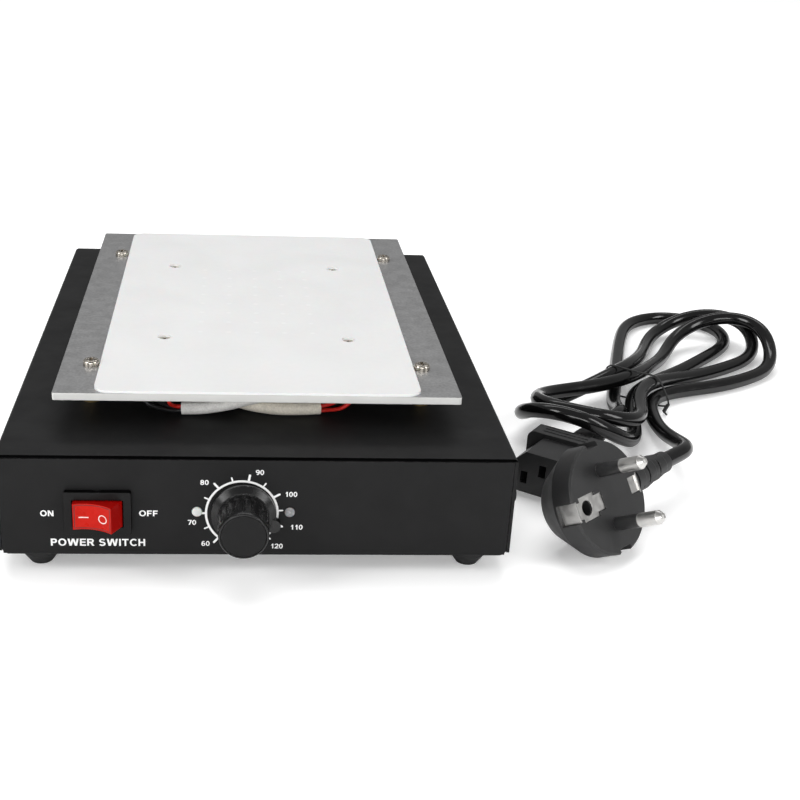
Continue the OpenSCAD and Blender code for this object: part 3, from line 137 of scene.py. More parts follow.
def empty_tree(owner):
    """Node tree of a world or a material, with nothing in it."""
    owner.use_nodes = True
    owner.node_tree.nodes.clear()
    return owner.node_tree


def make_world():
    """White where the camera sees it, and a weak even light for all else."""
    world = bpy.data.worlds.new("studio")
    bpy.context.scene.world = world
    tree = empty_tree(world)
    out = tree.nodes.new("ShaderNodeOutputWorld")
    path = tree.nodes.new("ShaderNodeLightPath")
    seen = tree.nodes.new("ShaderNodeMath")
    seen.operation = "MAXIMUM"
    tree.links.new(path.outputs["Is Camera Ray"], seen.inputs[0])
    tree.links.new(path.outputs["Is Transmission Ray"], seen.inputs[1])
    fill = tree.nodes.new("ShaderNodeBackground")
    fill.inputs["Strength"].default_value = WORLD_FILL
    white = tree.nodes.new("ShaderNodeBackground")
    white.inputs["Color"].default_value = (1, 1, 1, 1)
    white.inputs["Strength"].default_value = 1
    mix = tree.nodes.new("ShaderNodeMixShader")
    tree.links.new(seen.outputs[0], mix.inputs[0])
    tree.links.new(fill.outputs[0], mix.inputs[1])
    tree.links.new(white.outputs[0], mix.inputs[2])
    tree.links.new(mix.outputs[0], out.inputs[0])


def floor_white():
    """Matt white, lifted for the camera and clear from below."""
    paint = bpy.data.materials.new("floor_white")
    tree = empty_tree(paint)
    out = tree.nodes.new("ShaderNodeOutputMaterial")
    matte = tree.nodes.new("ShaderNodeBsdfDiffuse")
    matte.inputs["Color"].default_value = (FLOOR_COLOUR, FLOOR_COLOUR, FLOOR_COLOUR, 1)
    glow = tree.nodes.new("ShaderNodeEmission")
    path = tree.nodes.new("ShaderNodeLightPath")
    lift = tree.nodes.new("ShaderNodeMath")
    lift.operation = "MULTIPLY"
    lift.inputs[1].default_value = FLOOR_LIFT
    tree.links.new(path.outputs["Is Camera Ray"], lift.inputs[0])
    tree.links.new(lift.outputs[0], glow.inputs["Strength"])
    add = tree.nodes.new("ShaderNodeAddShader")
    tree.links.new(matte.outputs[0], add.inputs[0])
    tree.links.new(glow.outputs[0], add.inputs[1])
    clear = tree.nodes.new("ShaderNodeBsdfTransparent")
    side = tree.nodes.new("ShaderNodeNewGeometry")
    mix = tree.nodes.new("ShaderNodeMixShader")
    tree.links.new(side.outputs["Backfacing"], mix.inputs[0])
    tree.links.new(add.outputs[0], mix.inputs[1])
    tree.links.new(clear.outputs[0], mix.inputs[2])
    tree.links.new(mix.outputs[0], out.inputs[0])
    return paint


def make_floor():
    mesh = bpy.data.meshes.new("floor")
    corners = [Vector(p) * FLOOR_HALF for p in ((-1, -1, 0), (1, -1, 0), (1, 1, 0), (-1, 1, 0))]
    mesh.from_pydata([p - Vector((0, 0, FLOOR_DROP)) for p in corners], [], [(0, 1, 2, 3)])
    mesh.materials.append(floor_white())
    floor = linked("floor", mesh)


# Node trees

class Paint:
    """One material, whose colour, roughness and surface are built up step by step."""

    def __init__(self, name, colour, rough, metal=0.0, specular=0.5, coat=0.0, coat_rough=0.15):
        self.material = bpy.data.materials.new(name)
        self.material.use_nodes = True
        self.tree = self.material.node_tree
        self.shader = self.tree.nodes["Principled BSDF"]
        self.rough = rough
        self.set("Base Color", (*colour, 1))
        self.set("Roughness", rough)
        self.set("Metallic", metal)
        self.set("Specular IOR Level", specular)
        self.set("Coat Weight", coat)
        self.set("Coat Roughness", coat_rough)
        self.colour = (*colour, 1)
        self.normal = None
        self.place = self.add("ShaderNodeTexCoord").outputs["Object"]

    def set(self, name, value):
        self.shader.inputs[name].default_value = value

    def add(self, kind, **settings):
        node = self.tree.nodes.new(kind)
        for name, value in settings.items():
            setattr(node, name, value)
        return node

    def feed(self, value, socket):
        """Gives a socket either a link or a plain value."""
        if isinstance(value, bpy.types.NodeSocket):
            self.tree.links.new(value, socket)
        else:
            socket.default_value = value

    def math(self, operation, a, b=0.0):
        node = self.add("ShaderNodeMath", operation=operation)
        self.feed(a, node.inputs[0])
        self.feed(b, node.inputs[1])
        return node.outputs[0]

    def spread(self, value, low, high, to_low=0.0, to_high=1.0):
        """A value between low and high, brought to the range from to_low to to_high."""
        node = self.add("ShaderNodeMapRange")
        self.feed(value, node.inputs["Value"])
        for name, limit in (("From Min", low), ("From Max", high), ("To Min", to_low), ("To Max", to_high)):
            node.inputs[name].default_value = limit
        return node.outputs[0]

    def stretched(self, stretch):
        node = self.add("ShaderNodeMapping")
        self.feed(self.place, node.inputs["Vector"])
        node.inputs["Scale"].default_value = stretch
        return node.outputs[0]

    def noise(self, size, detail=2.0, stretch=None):
        """Noise from 0 to 1 with features about size mm across."""
        node = self.add("ShaderNodeTexNoise")
        self.feed(self.stretched(stretch) if stretch else self.place, node.inputs["Vector"])
        node.inputs["Scale"].default_value = 1 / (size * MM)
        node.inputs["Detail"].default_value = detail
        return node.outputs[0]

    def cells(self, size, output="Distance", feature="F1"):
        node = self.add("ShaderNodeTexVoronoi", feature=feature)
        self.feed(self.place, node.inputs["Vector"])
        node.inputs["Scale"].default_value = 1 / (size * MM)
        return node.outputs[output]

    def axis(self, name):
        """One coordinate of the surface point, in metres."""
        node = self.add("ShaderNodeSeparateXYZ")
        self.feed(self.place, node.inputs[0])
        return node.outputs[name]

    def past(self, name, limit, edge=0.05):
        """Mask of what lies past a place on an axis, in mm, or before it if the edge is negative."""
        return self.spread(self.axis(name), (limit - edge) * MM, (limit + edge) * MM)

    def hypotenuse(self, a, b):
        squares = [self.math("POWER", side, 2.0) for side in (a, b)]
        return self.math("SQRT", self.math("ADD", *squares))

    def facing(self, name):
        """One part of the surface's normal."""
        node = self.add("ShaderNodeSeparateXYZ")
        self.feed(self.add("ShaderNodeNewGeometry").outputs["Normal"], node.inputs[0])
        return node.outputs[name]

    def tint(self, mask, colour, blend="MIX"):
        """Mixes a colour into the base colour where the mask is 1."""
        node = self.add("ShaderNodeMix", data_type="RGBA", blend_type=blend)
        self.feed(mask, node.inputs[0])
        self.feed(self.colour, node.inputs[6])
        self.feed(colour if isinstance(colour, bpy.types.NodeSocket) else (*colour, 1), node.inputs[7])
        self.colour = node.outputs[2]
        return self

    def mottle(self, size, amount, detail=3.0):
        """Light and dark patches."""
        self.tint(1.0, self.spread(self.noise(size, detail), 0.3, 0.7, 1 - amount, 1 + amount), "MULTIPLY")
        return self

    def smudge(self, size, amount):
        """Smoother and rougher patches."""
        self.feed(self.spread(self.noise(size), 0.35, 0.65, self.rough - amount, self.rough + amount),
                  self.shader.inputs["Roughness"])
        return self

    def raise_by(self, height, depth, strength=1.0):
        """Bump of a height from 0 to 1, depth mm deep."""
        node = self.add("ShaderNodeBump")
        self.feed(height, node.inputs["Height"])
        node.inputs["Distance"].default_value = depth * MM
        node.inputs["Strength"].default_value = strength
        if self.normal:
            self.feed(self.normal, node.inputs["Normal"])
        self.normal = node.outputs[0]
        return self

    def grain(self, size, depth, stretch=None):
        return self.raise_by(self.noise(size, 2.0, stretch), depth)

    def round_edges(self, radius, worn=None, reach=0.12):
        """Soft edges of the given radius, in the worn colour where there is one."""
        soft = self.add("ShaderNodeBevel", samples=4)
        soft.inputs["Radius"].default_value = radius * MM
        self.normal = soft.outputs[0]
        if worn:
            dot = self.add("ShaderNodeVectorMath", operation="DOT_PRODUCT")
            self.feed(soft.outputs[0], dot.inputs[0])
            self.feed(self.add("ShaderNodeNewGeometry").outputs["Normal"], dot.inputs[1])
            mask = self.spread(dot.outputs["Value"], 1.0, 1 - reach)
            broken = self.spread(self.noise(1.1, 3), 0.42, 0.62)
            self.tint(self.math("MULTIPLY", mask, broken), worn)
        return self

    def done(self):
        self.feed(self.colour, self.shader.inputs["Base Color"])
        if self.normal:
            self.feed(self.normal, self.shader.inputs["Normal"])
        return self.material


# Meshes in mm

class Build:
    """Collects points in mm and faces, and makes one piece of them."""

    def __init__(self):
        self.points = []
        self.faces = []

    def add(self, points, faces, place=None):
        start = len(self.points)
        self.points += [place @ Vector(p) if place else Vector(p) for p in points]
        self.faces += [[start + i for i in face] for face in faces]
        return self

    def piece(self, name, body, material, replaced=(), sharp=40):
        mesh = bpy.data.meshes.new(name)
        mesh.from_pydata([p * MM for p in self.points], [], self.faces)
        work = bmesh.new()
        work.from_mesh(mesh)
        bmesh.ops.recalc_face_normals(work, faces=work.faces)
        work.to_mesh(mesh)
        work.free()
        mesh.shade_smooth()
        mesh.set_sharp_from_angle(angle=math.radians(sharp))
        mesh.materials.append(material)
        return settle(linked(name, mesh), body, replaced)


def settle(obj, body, replaced=()):
    """Hangs a piece on its body and hides the nodes that it stands for."""
    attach(obj, body)
    if replaced:
        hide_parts(*replaced)
    return obj


def carried_frames(points):
    """Tangent and two side vectors at each point, carried along without twist."""
    frames = []
    side = Vector((0, 0, 1))
    last = len(points) - 1
    for i in range(last + 1):
        ahead = (points[min(i + 1, last)] - points[max(i - 1, 0)]).normalized()
        side = side - side.dot(ahead) * ahead
        if side.length < 1e-6:
            side = ahead.orthogonal()
        side.normalize()
        frames.append((ahead, side.copy(), ahead.cross(side)))
    return frames


def skin(loops, closed_ends=True):
    """Faces between loops of the same number of points."""
    points = [p for loop in loops for p in loop]
    n = len(loops[0])
    faces = [[i * n + k, (i + 1) * n + k, (i + 1) * n + (k + 1) % n, i * n + (k + 1) % n]
             for i in range(len(loops) - 1) for k in range(n)]
    if closed_ends:
        faces += [list(range(n)), list(range((len(loops) - 1) * n, len(loops) * n))[::-1]]
    return points, faces


def tube_loops(points, radius, sides):
    loops = []
    turns = [2 * math.pi * k / sides for k in range(sides)]
    for p, (ahead, side, other) in zip(points, carried_frames(points)):
        loops.append([p + radius * (math.cos(a) * side + math.sin(a) * other) for a in turns])
    return loops


def smooth_line(knots, per):
    """Curve through given points, with so many steps from each to the next."""
    return [point_along(knots, k / per) for k in range((len(knots) - 1) * per + 1)]


def point_along(knots, s):
    """Point of the curve through the knots at s, counted in knots."""
    n = len(knots) - 1
    i = max(0, min(int(math.floor(s)), n - 1))
    t = s - i
    a = knots[i - 1] if i > 0 else 2 * knots[0] - knots[1]
    d = knots[i + 2] if i + 2 <= n else 2 * knots[n] - knots[n - 1]
    b, c = knots[i], knots[i + 1]
    square = 2 * a - 5 * b + 4 * c - d
    cube = 3 * b - a - 3 * c + d
    return 0.5 * (2 * b + (c - a) * t + square * t * t + cube * t ** 3)


def lengths_along(line):
    """How far each point lies from the first, along the line."""
    along = [0.0]
    for a, b in zip(line, line[1:]):
        along.append(along[-1] + (b - a).length)
    return along


# Finishes, one for each of the record's material slots

# Grid of dots on the mat, and where other finishes change from one look to another, in mm
DOTS_X, DOTS_Y = 5, 8
DOT_PITCH_X, DOT_PITCH_Y = 10.2, 10.7
DOT_X = -2 * DOT_PITCH_X
DOT_Y = FRONT_Y + 77.5
DOT_R = 0.9
DOT_EDGE = 0.25
COVERED_X = 40.0    # the mat lies on the plate up to here, on each side
TURNING_PITCH = 0.35
LAMP_LEGS_Y = FRONT_Y + 2.025
FILM_CAP_END = BOARD_X - 20.0
CHIP_LEG_TOP = 14.6
FUSE_X = BOARD_X + 28
FUSE_CAPS_AT = 5.5
PROBE_SLEEVE_Z = CLAMP_Z - 0.85
PROBE_WIRES_Y = PROBE_Y - 7.95
PIN_ROOT = 9.5
BETWEEN_WIRES_X = -54.5
WIRES_BEND_Y = (INLET_Y - 95, INLET_Y - 55)
EARTH_AT_INLET_Y = INLET_Y - 53.5
EARTH_AT_STUD_X = INLET_X + 14
STRIPE_PITCH = 2.856


def powder_coat():
    """Fine matt powder, with painted shade on the cover's front edge, which is made near black and metallic
    to stand for a shadow gap.
    """
    paint = Paint("powder_coat", (0.0105, 0.0105, 0.0108), 0.55, specular=0.17)
    paint.round_edges(0.35, worn=(0.045, 0.045, 0.046), reach=0.2)
    # Painted shade: the cover's front edge, 1 mm tall, is made near black and fully metallic, so that it
    # shows as the dark shadow gap between cover and panel.
    in_front = paint.past("Y", FRONT_Y + 0.25, -0.1)
    edge = paint.math("MULTIPLY", in_front, paint.past("Z", ROOF_Z + 0.05))
    paint.tint(edge, (0.0015, 0.0015, 0.0016))
    paint.feed(edge, paint.shader.inputs["Metallic"])
    paint.mottle(9, 0.08).smudge(14, 0.05)
    return paint.grain(0.35, 0.012).grain(1.2, 0.01).done()


def plate_aluminium():
    """Satin aluminium with a fine speckle and bright sawn edges, cleaner under the mat."""
    paint = Paint("plate_aluminium", (0.38, 0.38, 0.382), 0.42, metal=0.8)
    paint.round_edges(0.25, worn=(0.62, 0.62, 0.6))
    paint.mottle(12, 0.03).mottle(1.0, 0.16, 4)
    covered = paint.spread(paint.math("ABSOLUTE", paint.axis("X")), (COVERED_X + 1) * MM, COVERED_X * MM)
    paint.tint(covered, (0.6, 0.6, 0.59))
    sawn = paint.spread(paint.math("ABSOLUTE", paint.facing("Z")), 0.7, 0.4)
    paint.tint(sawn, (0.74, 0.74, 0.72))
    paint.smudge(5, 0.07)
    return paint.grain(0.5, 0.01).grain(0.12, 0.004).done()


def mat_silicone():
    """White silicone with a faint grid of dots pressed into it, and a painted highlight along its rounded
    edges.
    """
    paint = Paint("mat_silicone", (0.68, 0.68, 0.677), 0.5, specular=0.35)
    paint.set("Subsurface Weight", 0.1)
    paint.set("Subsurface Scale", 1.5 * MM)
    paint.round_edges(0.35)
    paint.mottle(30, 0.012).mottle(2.5, 0.008)
    # Painted highlight: faces that turn away from the top, at the mat's rounded edges, are made whiter.
    rim = paint.spread(paint.math("ABSOLUTE", paint.facing("Z")), 0.9, 0.4)
    paint.tint(rim, (0.93, 0.93, 0.925))
    paint.tint(mat_dots(paint), (0.72, 0.72, 0.717))
    return paint.smudge(18, 0.08).grain(0.4, 0.004).done()


def mat_dots(paint):
    """Mask of a grid of small round dots round the middle of the mat."""
    distance = []
    inside = []
    grid = (("X", DOT_X, DOT_PITCH_X, DOTS_X), ("Y", DOT_Y, DOT_PITCH_Y, DOTS_Y))
    for name, start, pitch, count in grid:
        steps = paint.math("DIVIDE", paint.math("SUBTRACT", paint.axis(name), start * MM), pitch * MM)
        nearest = paint.math("ROUND", steps)
        distance.append(paint.math("MULTIPLY", paint.math("SUBTRACT", steps, nearest), pitch))
        middle = (count - 1) / 2
        inside.append(paint.math("COMPARE", nearest, middle))
        inside[-1].node.inputs[2].default_value = middle + 0.1
    reach = paint.hypotenuse(*distance)
    dot = paint.spread(reach, DOT_R + DOT_EDGE, DOT_R - DOT_EDGE)
    return paint.math("MULTIPLY", dot, paint.math("MULTIPLY", *inside))


def metal(name, colour, rough, worn=None, radius=0.15, brushed=None):
    paint = Paint(name, colour, rough, metal=1.0)
    paint.round_edges(radius, worn)
    paint.mottle(2.2, 0.1).smudge(1.6, 0.08)
    if brushed:
        paint.grain(0.4, 0.006, brushed)
    return paint.grain(0.15, 0.002).done()


def plastic(name, colour, rough, coat=0.0, grain=(0.22, 0.008), radius=0.3, worn=None, mottle=0.06):
    paint = Paint(name, colour, rough, coat=coat)
    paint.round_edges(radius, worn)
    return paint.mottle(6, mottle).smudge(8, 0.06).grain(*grain).done()


def switch_black():
    """Housing with a satin face, and painted shade on its walls, which are darker and partly metallic."""
    paint = Paint("switch_black", (0.006, 0.006, 0.0062), 0.45, specular=0.2)
    paint.round_edges(0.3)
    # Painted shade: walls that do not face the front are made nearly black and partly metallic, for the
    # shade along the bezel's top and sides.
    walls = paint.spread(paint.math("ABSOLUTE", paint.facing("Y")), 0.8, 0.6)
    paint.tint(walls, (0.0025, 0.0025, 0.0025))
    paint.feed(paint.math("MULTIPLY", walls, 0.75), paint.shader.inputs["Metallic"])
    return paint.mottle(6, 0.06).smudge(8, 0.06).grain(0.22, 0.008).done()


def rubber(name, colour, rough=0.6, grain=(0.3, 0.012)):
    paint = Paint(name, colour, rough, specular=0.4)
    paint.round_edges(0.4)
    return paint.mottle(4, 0.12).smudge(5, 0.08).grain(*grain).done()


def cord_black():
    """Smooth sheath with a faint waviness and a little dust."""
    paint = Paint("cord_black", (0.003, 0.003, 0.0031), 0.15, specular=0.55)
    paint.mottle(12, 0.15).mottle(1.2, 0.08).smudge(7, 0.04)
    return paint.grain(0.5, 0.003).grain(2.5, 0.01).done()


def knob_black():
    paint = Paint("knob_black", (0.006, 0.006, 0.0062), 0.26, specular=0.5)
    paint.round_edges(0.18, worn=(0.05, 0.05, 0.05))
    return paint.mottle(3, 0.06).smudge(4, 0.04).grain(0.18, 0.001).done()


def cap_black():
    """Finely turned face, in rings round its middle."""
    paint = Paint("cap_black", (0.0075, 0.0075, 0.0077), 0.42, specular=0.2)
    paint.round_edges(0.15, worn=(0.09, 0.09, 0.09))
    across = paint.math("SUBTRACT", paint.axis("X"), DIAL_AT.x * MM)
    up = paint.math("SUBTRACT", paint.axis("Z"), DIAL_AT.z * MM)
    rings = paint.math("SINE", paint.math("MULTIPLY", paint.hypotenuse(across, up),
                                          2 * math.pi / (TURNING_PITCH * MM)))
    return paint.raise_by(rings, 0.003).mottle(5, 0.05).smudge(3, 0.05).grain(0.15, 0.002).done()


def rocker_red():
    """Red plastic that glows a little from inside, with painted shade on its sides."""
    paint = Paint("rocker_red", (0.52, 0.009, 0.003), 0.3, specular=0.15)
    paint.set("Subsurface Weight", 0.15)
    paint.set("Subsurface Scale", 1.2 * MM)
    paint.set("Subsurface Radius", (1.0, 0.12, 0.06))
    paint.round_edges(0.25)
    # Painted shade: the rocker's sides, which do not face the front, are tinted dark red.
    sides = paint.spread(paint.math("ABSOLUTE", paint.facing("Y")), 0.75, 0.55)
    paint.tint(sides, (0.3, 0.002, 0.001))
    return paint.mottle(8, 0.04).smudge(5, 0.04).grain(0.4, 0.002).done()


def lens(name, colour, rim):
    """Milky lamp, with tinned legs behind the panel."""
    paint = Paint(name, colour, 0.22, coat=0.5)
    paint.set("Subsurface Weight", 0.3)
    paint.set("Subsurface Scale", 0.8 * MM)
    paint.round_edges(0.15)
    paint.tint(paint.past("Y", LAMP_LEGS_Y, 0.025), (0.6, 0.6, 0.58))
    paint.tint(paint.spread(paint.noise(0.9), 0.5, 0.7), rim)
    return paint.grain(0.3, 0.004).done()


def banded(name, first, second, axis, size, rough, metal=0.0):
    """Thin layers one on another, as in laminations or wound tape."""
    paint = Paint(name, first, rough, metal=metal)
    paint.round_edges(0.2)
    layers = paint.math("SINE", paint.math("MULTIPLY", paint.axis(axis), 2 * math.pi / (size * MM)))
    paint.tint(paint.spread(layers, -0.2, 0.5), second)
    return paint.raise_by(layers, 0.05).mottle(4, 0.1).smudge(3, 0.06).done()


def two_part(name, first, second, axis, limit, rough, metal=0.0):
    """A second colour past a plane, such as legs under a chip."""
    paint = Paint(name, first, rough, metal=metal)
    paint.round_edges(0.2)
    paint.tint(paint.past(axis, limit), second)
    return paint.mottle(3, 0.08).smudge(3, 0.06).grain(0.2, 0.006).done()


def board_green():
    """Solder mask with the shadows of tracks under it."""
    paint = Paint("board_green", (0.02, 0.12, 0.045), 0.32, coat=0.4)
    tracks = paint.spread(paint.cells(4.2, "Distance", "DISTANCE_TO_EDGE"), 0.05, 0.09, 1.0, 0.0)
    paint.tint(tracks, (0.05, 0.22, 0.08))
    return paint.raise_by(tracks, 0.03).mottle(8, 0.08).smudge(6, 0.06).done()


def heater_mica():
    paint = Paint("heater_mica", (0.32, 0.25, 0.16), 0.55)
    flakes = paint.spread(paint.cells(3.0, "Distance"), 0.2, 0.7)
    paint.tint(flakes, (0.5, 0.42, 0.28))
    return paint.raise_by(flakes, 0.03).mottle(7, 0.12).done()


def inner_wire():
    """Brown, blue and green-yellow wires, told apart by where they run."""
    paint = Paint("wire_mains", (0.16, 0.06, 0.025), 0.4)
    start, end = WIRES_BEND_Y
    between = paint.spread(paint.axis("Y"), start * MM, end * MM, BETWEEN_WIRES_X * MM, INLET_X * MM)
    beyond = paint.math("SUBTRACT", paint.axis("X"), between)
    paint.tint(paint.spread(beyond, -0.5 * MM, 0.5 * MM), (0.03, 0.1, 0.42))
    high, near = paint.past("Z", INLET_Z, 0.2), paint.past("Y", EARTH_AT_INLET_Y, 0.5)
    at_stud = paint.past("X", EARTH_AT_STUD_X, 0.5)
    earth = paint.math("MAXIMUM", paint.math("MULTIPLY", high, near), at_stud)
    waves = paint.math("SINE", paint.math("MULTIPLY", paint.axis("Z"), 2 * math.pi / (STRIPE_PITCH * MM)))
    stripes = paint.spread(waves, -0.2, 0.2)
    paint.tint(earth, (0.6, 0.55, 0.04))
    paint.tint(paint.math("MULTIPLY", earth, stripes), (0.05, 0.3, 0.06))
    return paint.mottle(3, 0.08).smudge(4, 0.05).grain(0.3, 0.006).done()


def glass_fibre(name, colour):
    """Woven glass yarn, coated with varnish."""
    paint = Paint(name, colour, 0.55, specular=0.4)
    paint.set("Sheen Weight", 0.3)
    return paint.mottle(2.5, 0.06).mottle(0.6, 0.1).smudge(2, 0.1).grain(0.08, 0.01).done()


def pin_nickel():
    """Bright pins whose roots are in black insulation."""
    paint = Paint("pin_nickel", (0.72, 0.71, 0.69), 0.34, metal=1.0)
    paint.round_edges(0.2)
    ahead = along_plug(paint)
    out_of_face = paint.spread(ahead, -0.05 * MM, 0.05 * MM)
    before_bare = paint.spread(ahead, (PIN_ROOT + 0.2) * MM, (PIN_ROOT - 0.2) * MM)
    root = paint.math("MINIMUM", out_of_face, before_bare)
    paint.tint(root, (0.02, 0.02, 0.0205))
    paint.feed(paint.math("SUBTRACT", 1.0, root), paint.shader.inputs["Metallic"])
    return paint.mottle(2.2, 0.06).smudge(2, 0.06).grain(0.2, 0.003).done()


def along_plug(paint):
    """Distance in front of the plug's face, in metres."""
    dot = paint.add("ShaderNodeVectorMath", operation="DOT_PRODUCT")
    paint.feed(paint.place, dot.inputs[0])
    dot.inputs[1].default_value = PLUG_AXIS
    return paint.math("SUBTRACT", dot.outputs["Value"], PLUG_AT.dot(PLUG_AXIS) * MM)


def temperature_probe():
    """Copper lug with a red sleeve behind it and two white wires."""
    paint = Paint("probe_copper", (0.6, 0.28, 0.15), 0.35, metal=0.6)
    paint.tint(paint.past("Z", PROBE_SLEEVE_Z, -0.05), (0.45, 0.03, 0.02))
    paint.tint(paint.past("Y", PROBE_WIRES_Y, -0.05), (0.75, 0.74, 0.7))
    return paint.mottle(3, 0.08).smudge(3, 0.06).grain(0.2, 0.006).done()


def glass_fuse():
    """Glass tube between two nickel caps."""
    paint = Paint("fuse_glass", (0.5, 0.56, 0.56), 0.12, coat=0.6)
    away = paint.math("ABSOLUTE", paint.math("SUBTRACT", paint.axis("X"), FUSE_X * MM))
    caps = paint.spread(away, (FUSE_CAPS_AT - 0.05) * MM, (FUSE_CAPS_AT + 0.05) * MM)
    paint.tint(caps, (0.6, 0.59, 0.56))
    return paint.mottle(2, 0.06).smudge(3, 0.05).grain(0.2, 0.003).done()


def make_finishes():
    """Every finish, put on the solids whose slot it has the name of."""
    made = {
        "powder_coat": powder_coat(),
        "plate_aluminium": plate_aluminium(),
        "mat_silicone": mat_silicone(),
        "rocker_red": rocker_red(),
        "knob_black": knob_black(),
        "cap_black": cap_black(),
        "cord_black": cord_black(),
        "pin_nickel": pin_nickel(),
        "board_green": board_green(),
        "heater_mica": heater_mica(),
        "wire_mains": inner_wire(),
        "lamp_white": lens("lamp_white", (0.66, 0.67, 0.66), (0.82, 0.82, 0.82)),
        "lamp_grey": lens("lamp_grey", (0.22, 0.22, 0.225), (0.34, 0.34, 0.35)),
        "sleeve_white": glass_fibre("sleeve_white", (0.86, 0.85, 0.82)),
        "sleeve_cream": glass_fibre("sleeve_cream", (0.82, 0.77, 0.66)),
        "zinc_steel": metal("zinc_steel", (0.56, 0.52, 0.46), 0.24, worn=(0.8, 0.78, 0.74)),
        "black_screw": metal("black_screw", (0.05, 0.05, 0.052), 0.36, worn=(0.16, 0.15, 0.14)),
        # Painted shade: the brass is far darker than its own colour, since the spacers stand in the shade
        # under the plate.
        "brass_spacer": metal("brass_spacer", (0.24, 0.18, 0.08), 0.45, worn=(0.42, 0.33, 0.16)),
        "control_steel": metal("control_steel", (0.5, 0.5, 0.51), 0.35),
        "shaft_aluminium": metal("shaft_aluminium", (0.66, 0.67, 0.68), 0.3, brushed=(1, 8, 1)),
        "heat_sink_grey": metal("heat_sink_grey", (0.4, 0.41, 0.43), 0.4, brushed=(8, 8, 1)),
        "blade_tin": metal("blade_tin", (0.7, 0.7, 0.71), 0.2),
        "probe_copper": temperature_probe(),
        "foot_rubber": rubber("foot_rubber", (0.012, 0.012, 0.012), 0.62),
        "grommet_rubber": rubber("grommet_rubber", (0.014, 0.014, 0.014), 0.55),
        "lead_red": rubber("lead_red", (0.6, 0.016, 0.01), 0.36, (0.25, 0.006)),
        "lead_dark": rubber("lead_dark", (0.012, 0.012, 0.013), 0.34, (0.25, 0.006)),
        "switch_black": switch_black(),
        "inlet_black": plastic("inlet_black", (0.014, 0.014, 0.014), 0.45),
        "plug_black": plastic("plug_black", (0.02, 0.02, 0.0205), 0.45, radius=0.4,
                              worn=(0.06, 0.06, 0.06)),
        "tie_black": plastic("tie_black", (0.014, 0.014, 0.014), 0.5),
        "relay_blue": plastic("relay_blue", (0.03, 0.08, 0.32), 0.3, coat=0.3),
        "terminal_green": plastic("terminal_green", (0.04, 0.22, 0.08), 0.4),
        "can_blue": two_part("can_blue", (0.62, 0.44, 0.06), (0.02, 0.035, 0.11), "X", FILM_CAP_END, 0.3),
        "fuse_grey": plastic("fuse_grey", (0.62, 0.61, 0.57), 0.5),
        "fuse_glass": glass_fuse(),
        "chip_black": two_part("chip_black", (0.6, 0.6, 0.58), (0.018, 0.018, 0.018), "Z",
                               CHIP_LEG_TOP, 0.4),
        "core_steel": banded("core_steel", (0.2, 0.2, 0.21), (0.32, 0.31, 0.3), "Y", 0.7, 0.45, 0.8),
        "coil_tape": banded("coil_tape", (0.72, 0.62, 0.3), (0.6, 0.5, 0.22), "Z", 6.0, 0.3),
    }
    for part in frame["record"]["subparts"]:
        for place in NODES[part["node"]].material_slots:
            place.material = made[part["material_slot"]]
    return made


# Prints on the panel

PRINT_T = 0.03
ARC_R = 11.4
ARC_W = 0.72
DIAL_START, DIAL_END, DIAL_STEP = 230, -70, -25


def print_white():
    paint = Paint("print_white", (0.93, 0.93, 0.925), 0.5)
    return paint.mottle(1.5, 0.02).grain(0.2, 0.006).done()


def on_panel(x, z, y=0.0):
    """Matrix that stands flat artwork up on the panel's face, in mm."""
    return Matrix.Translation((x, FRONT_Y - y, z)) @ Matrix.Rotation(math.radians(90), 4, "X")


def box(x0, y0, x1, y1):
    return [(x0, y0), (x1, y0), (x1, y1), (x0, y1)], [[0, 1, 2, 3]]


def slant(x0, y0, x1, y1, width):
    """Stroke with level ends, from (x0, y0) up to (x1, y1)."""
    half = width / 2
    return [(x0 - half, y0), (x0 + half, y0), (x1 + half, y1), (x1 - half, y1)], [[0, 1, 2, 3]]


def bow(x, y, rx, ry, start=0, end=360, wide=0.23, tall=0.185, steps=36):
    """Part of an oval band with outer radii rx and ry, wide at its sides and tall at its top."""
    whole = end - start == 360
    flat = []
    for k in range(steps + (0 if whole else 1)):
        a = math.radians(start + (end - start) * k / steps)
        c, s = math.cos(a), math.sin(a)
        flat += [(x + (rx - wide) * c, y + (ry - tall) * s), (x + rx * c, y + ry * s)]
    n = len(flat)
    return flat, [[2 * k, 2 * k + 1, (2 * k + 3) % n, (2 * k + 2) % n] for k in range(steps)]


def digit_bow(x, y, rx, ry, start=0, end=360):
    return bow(x, y, rx, ry, start, end, 0.2, 0.17)


STEM = box(0, 0, 0.23, 1)
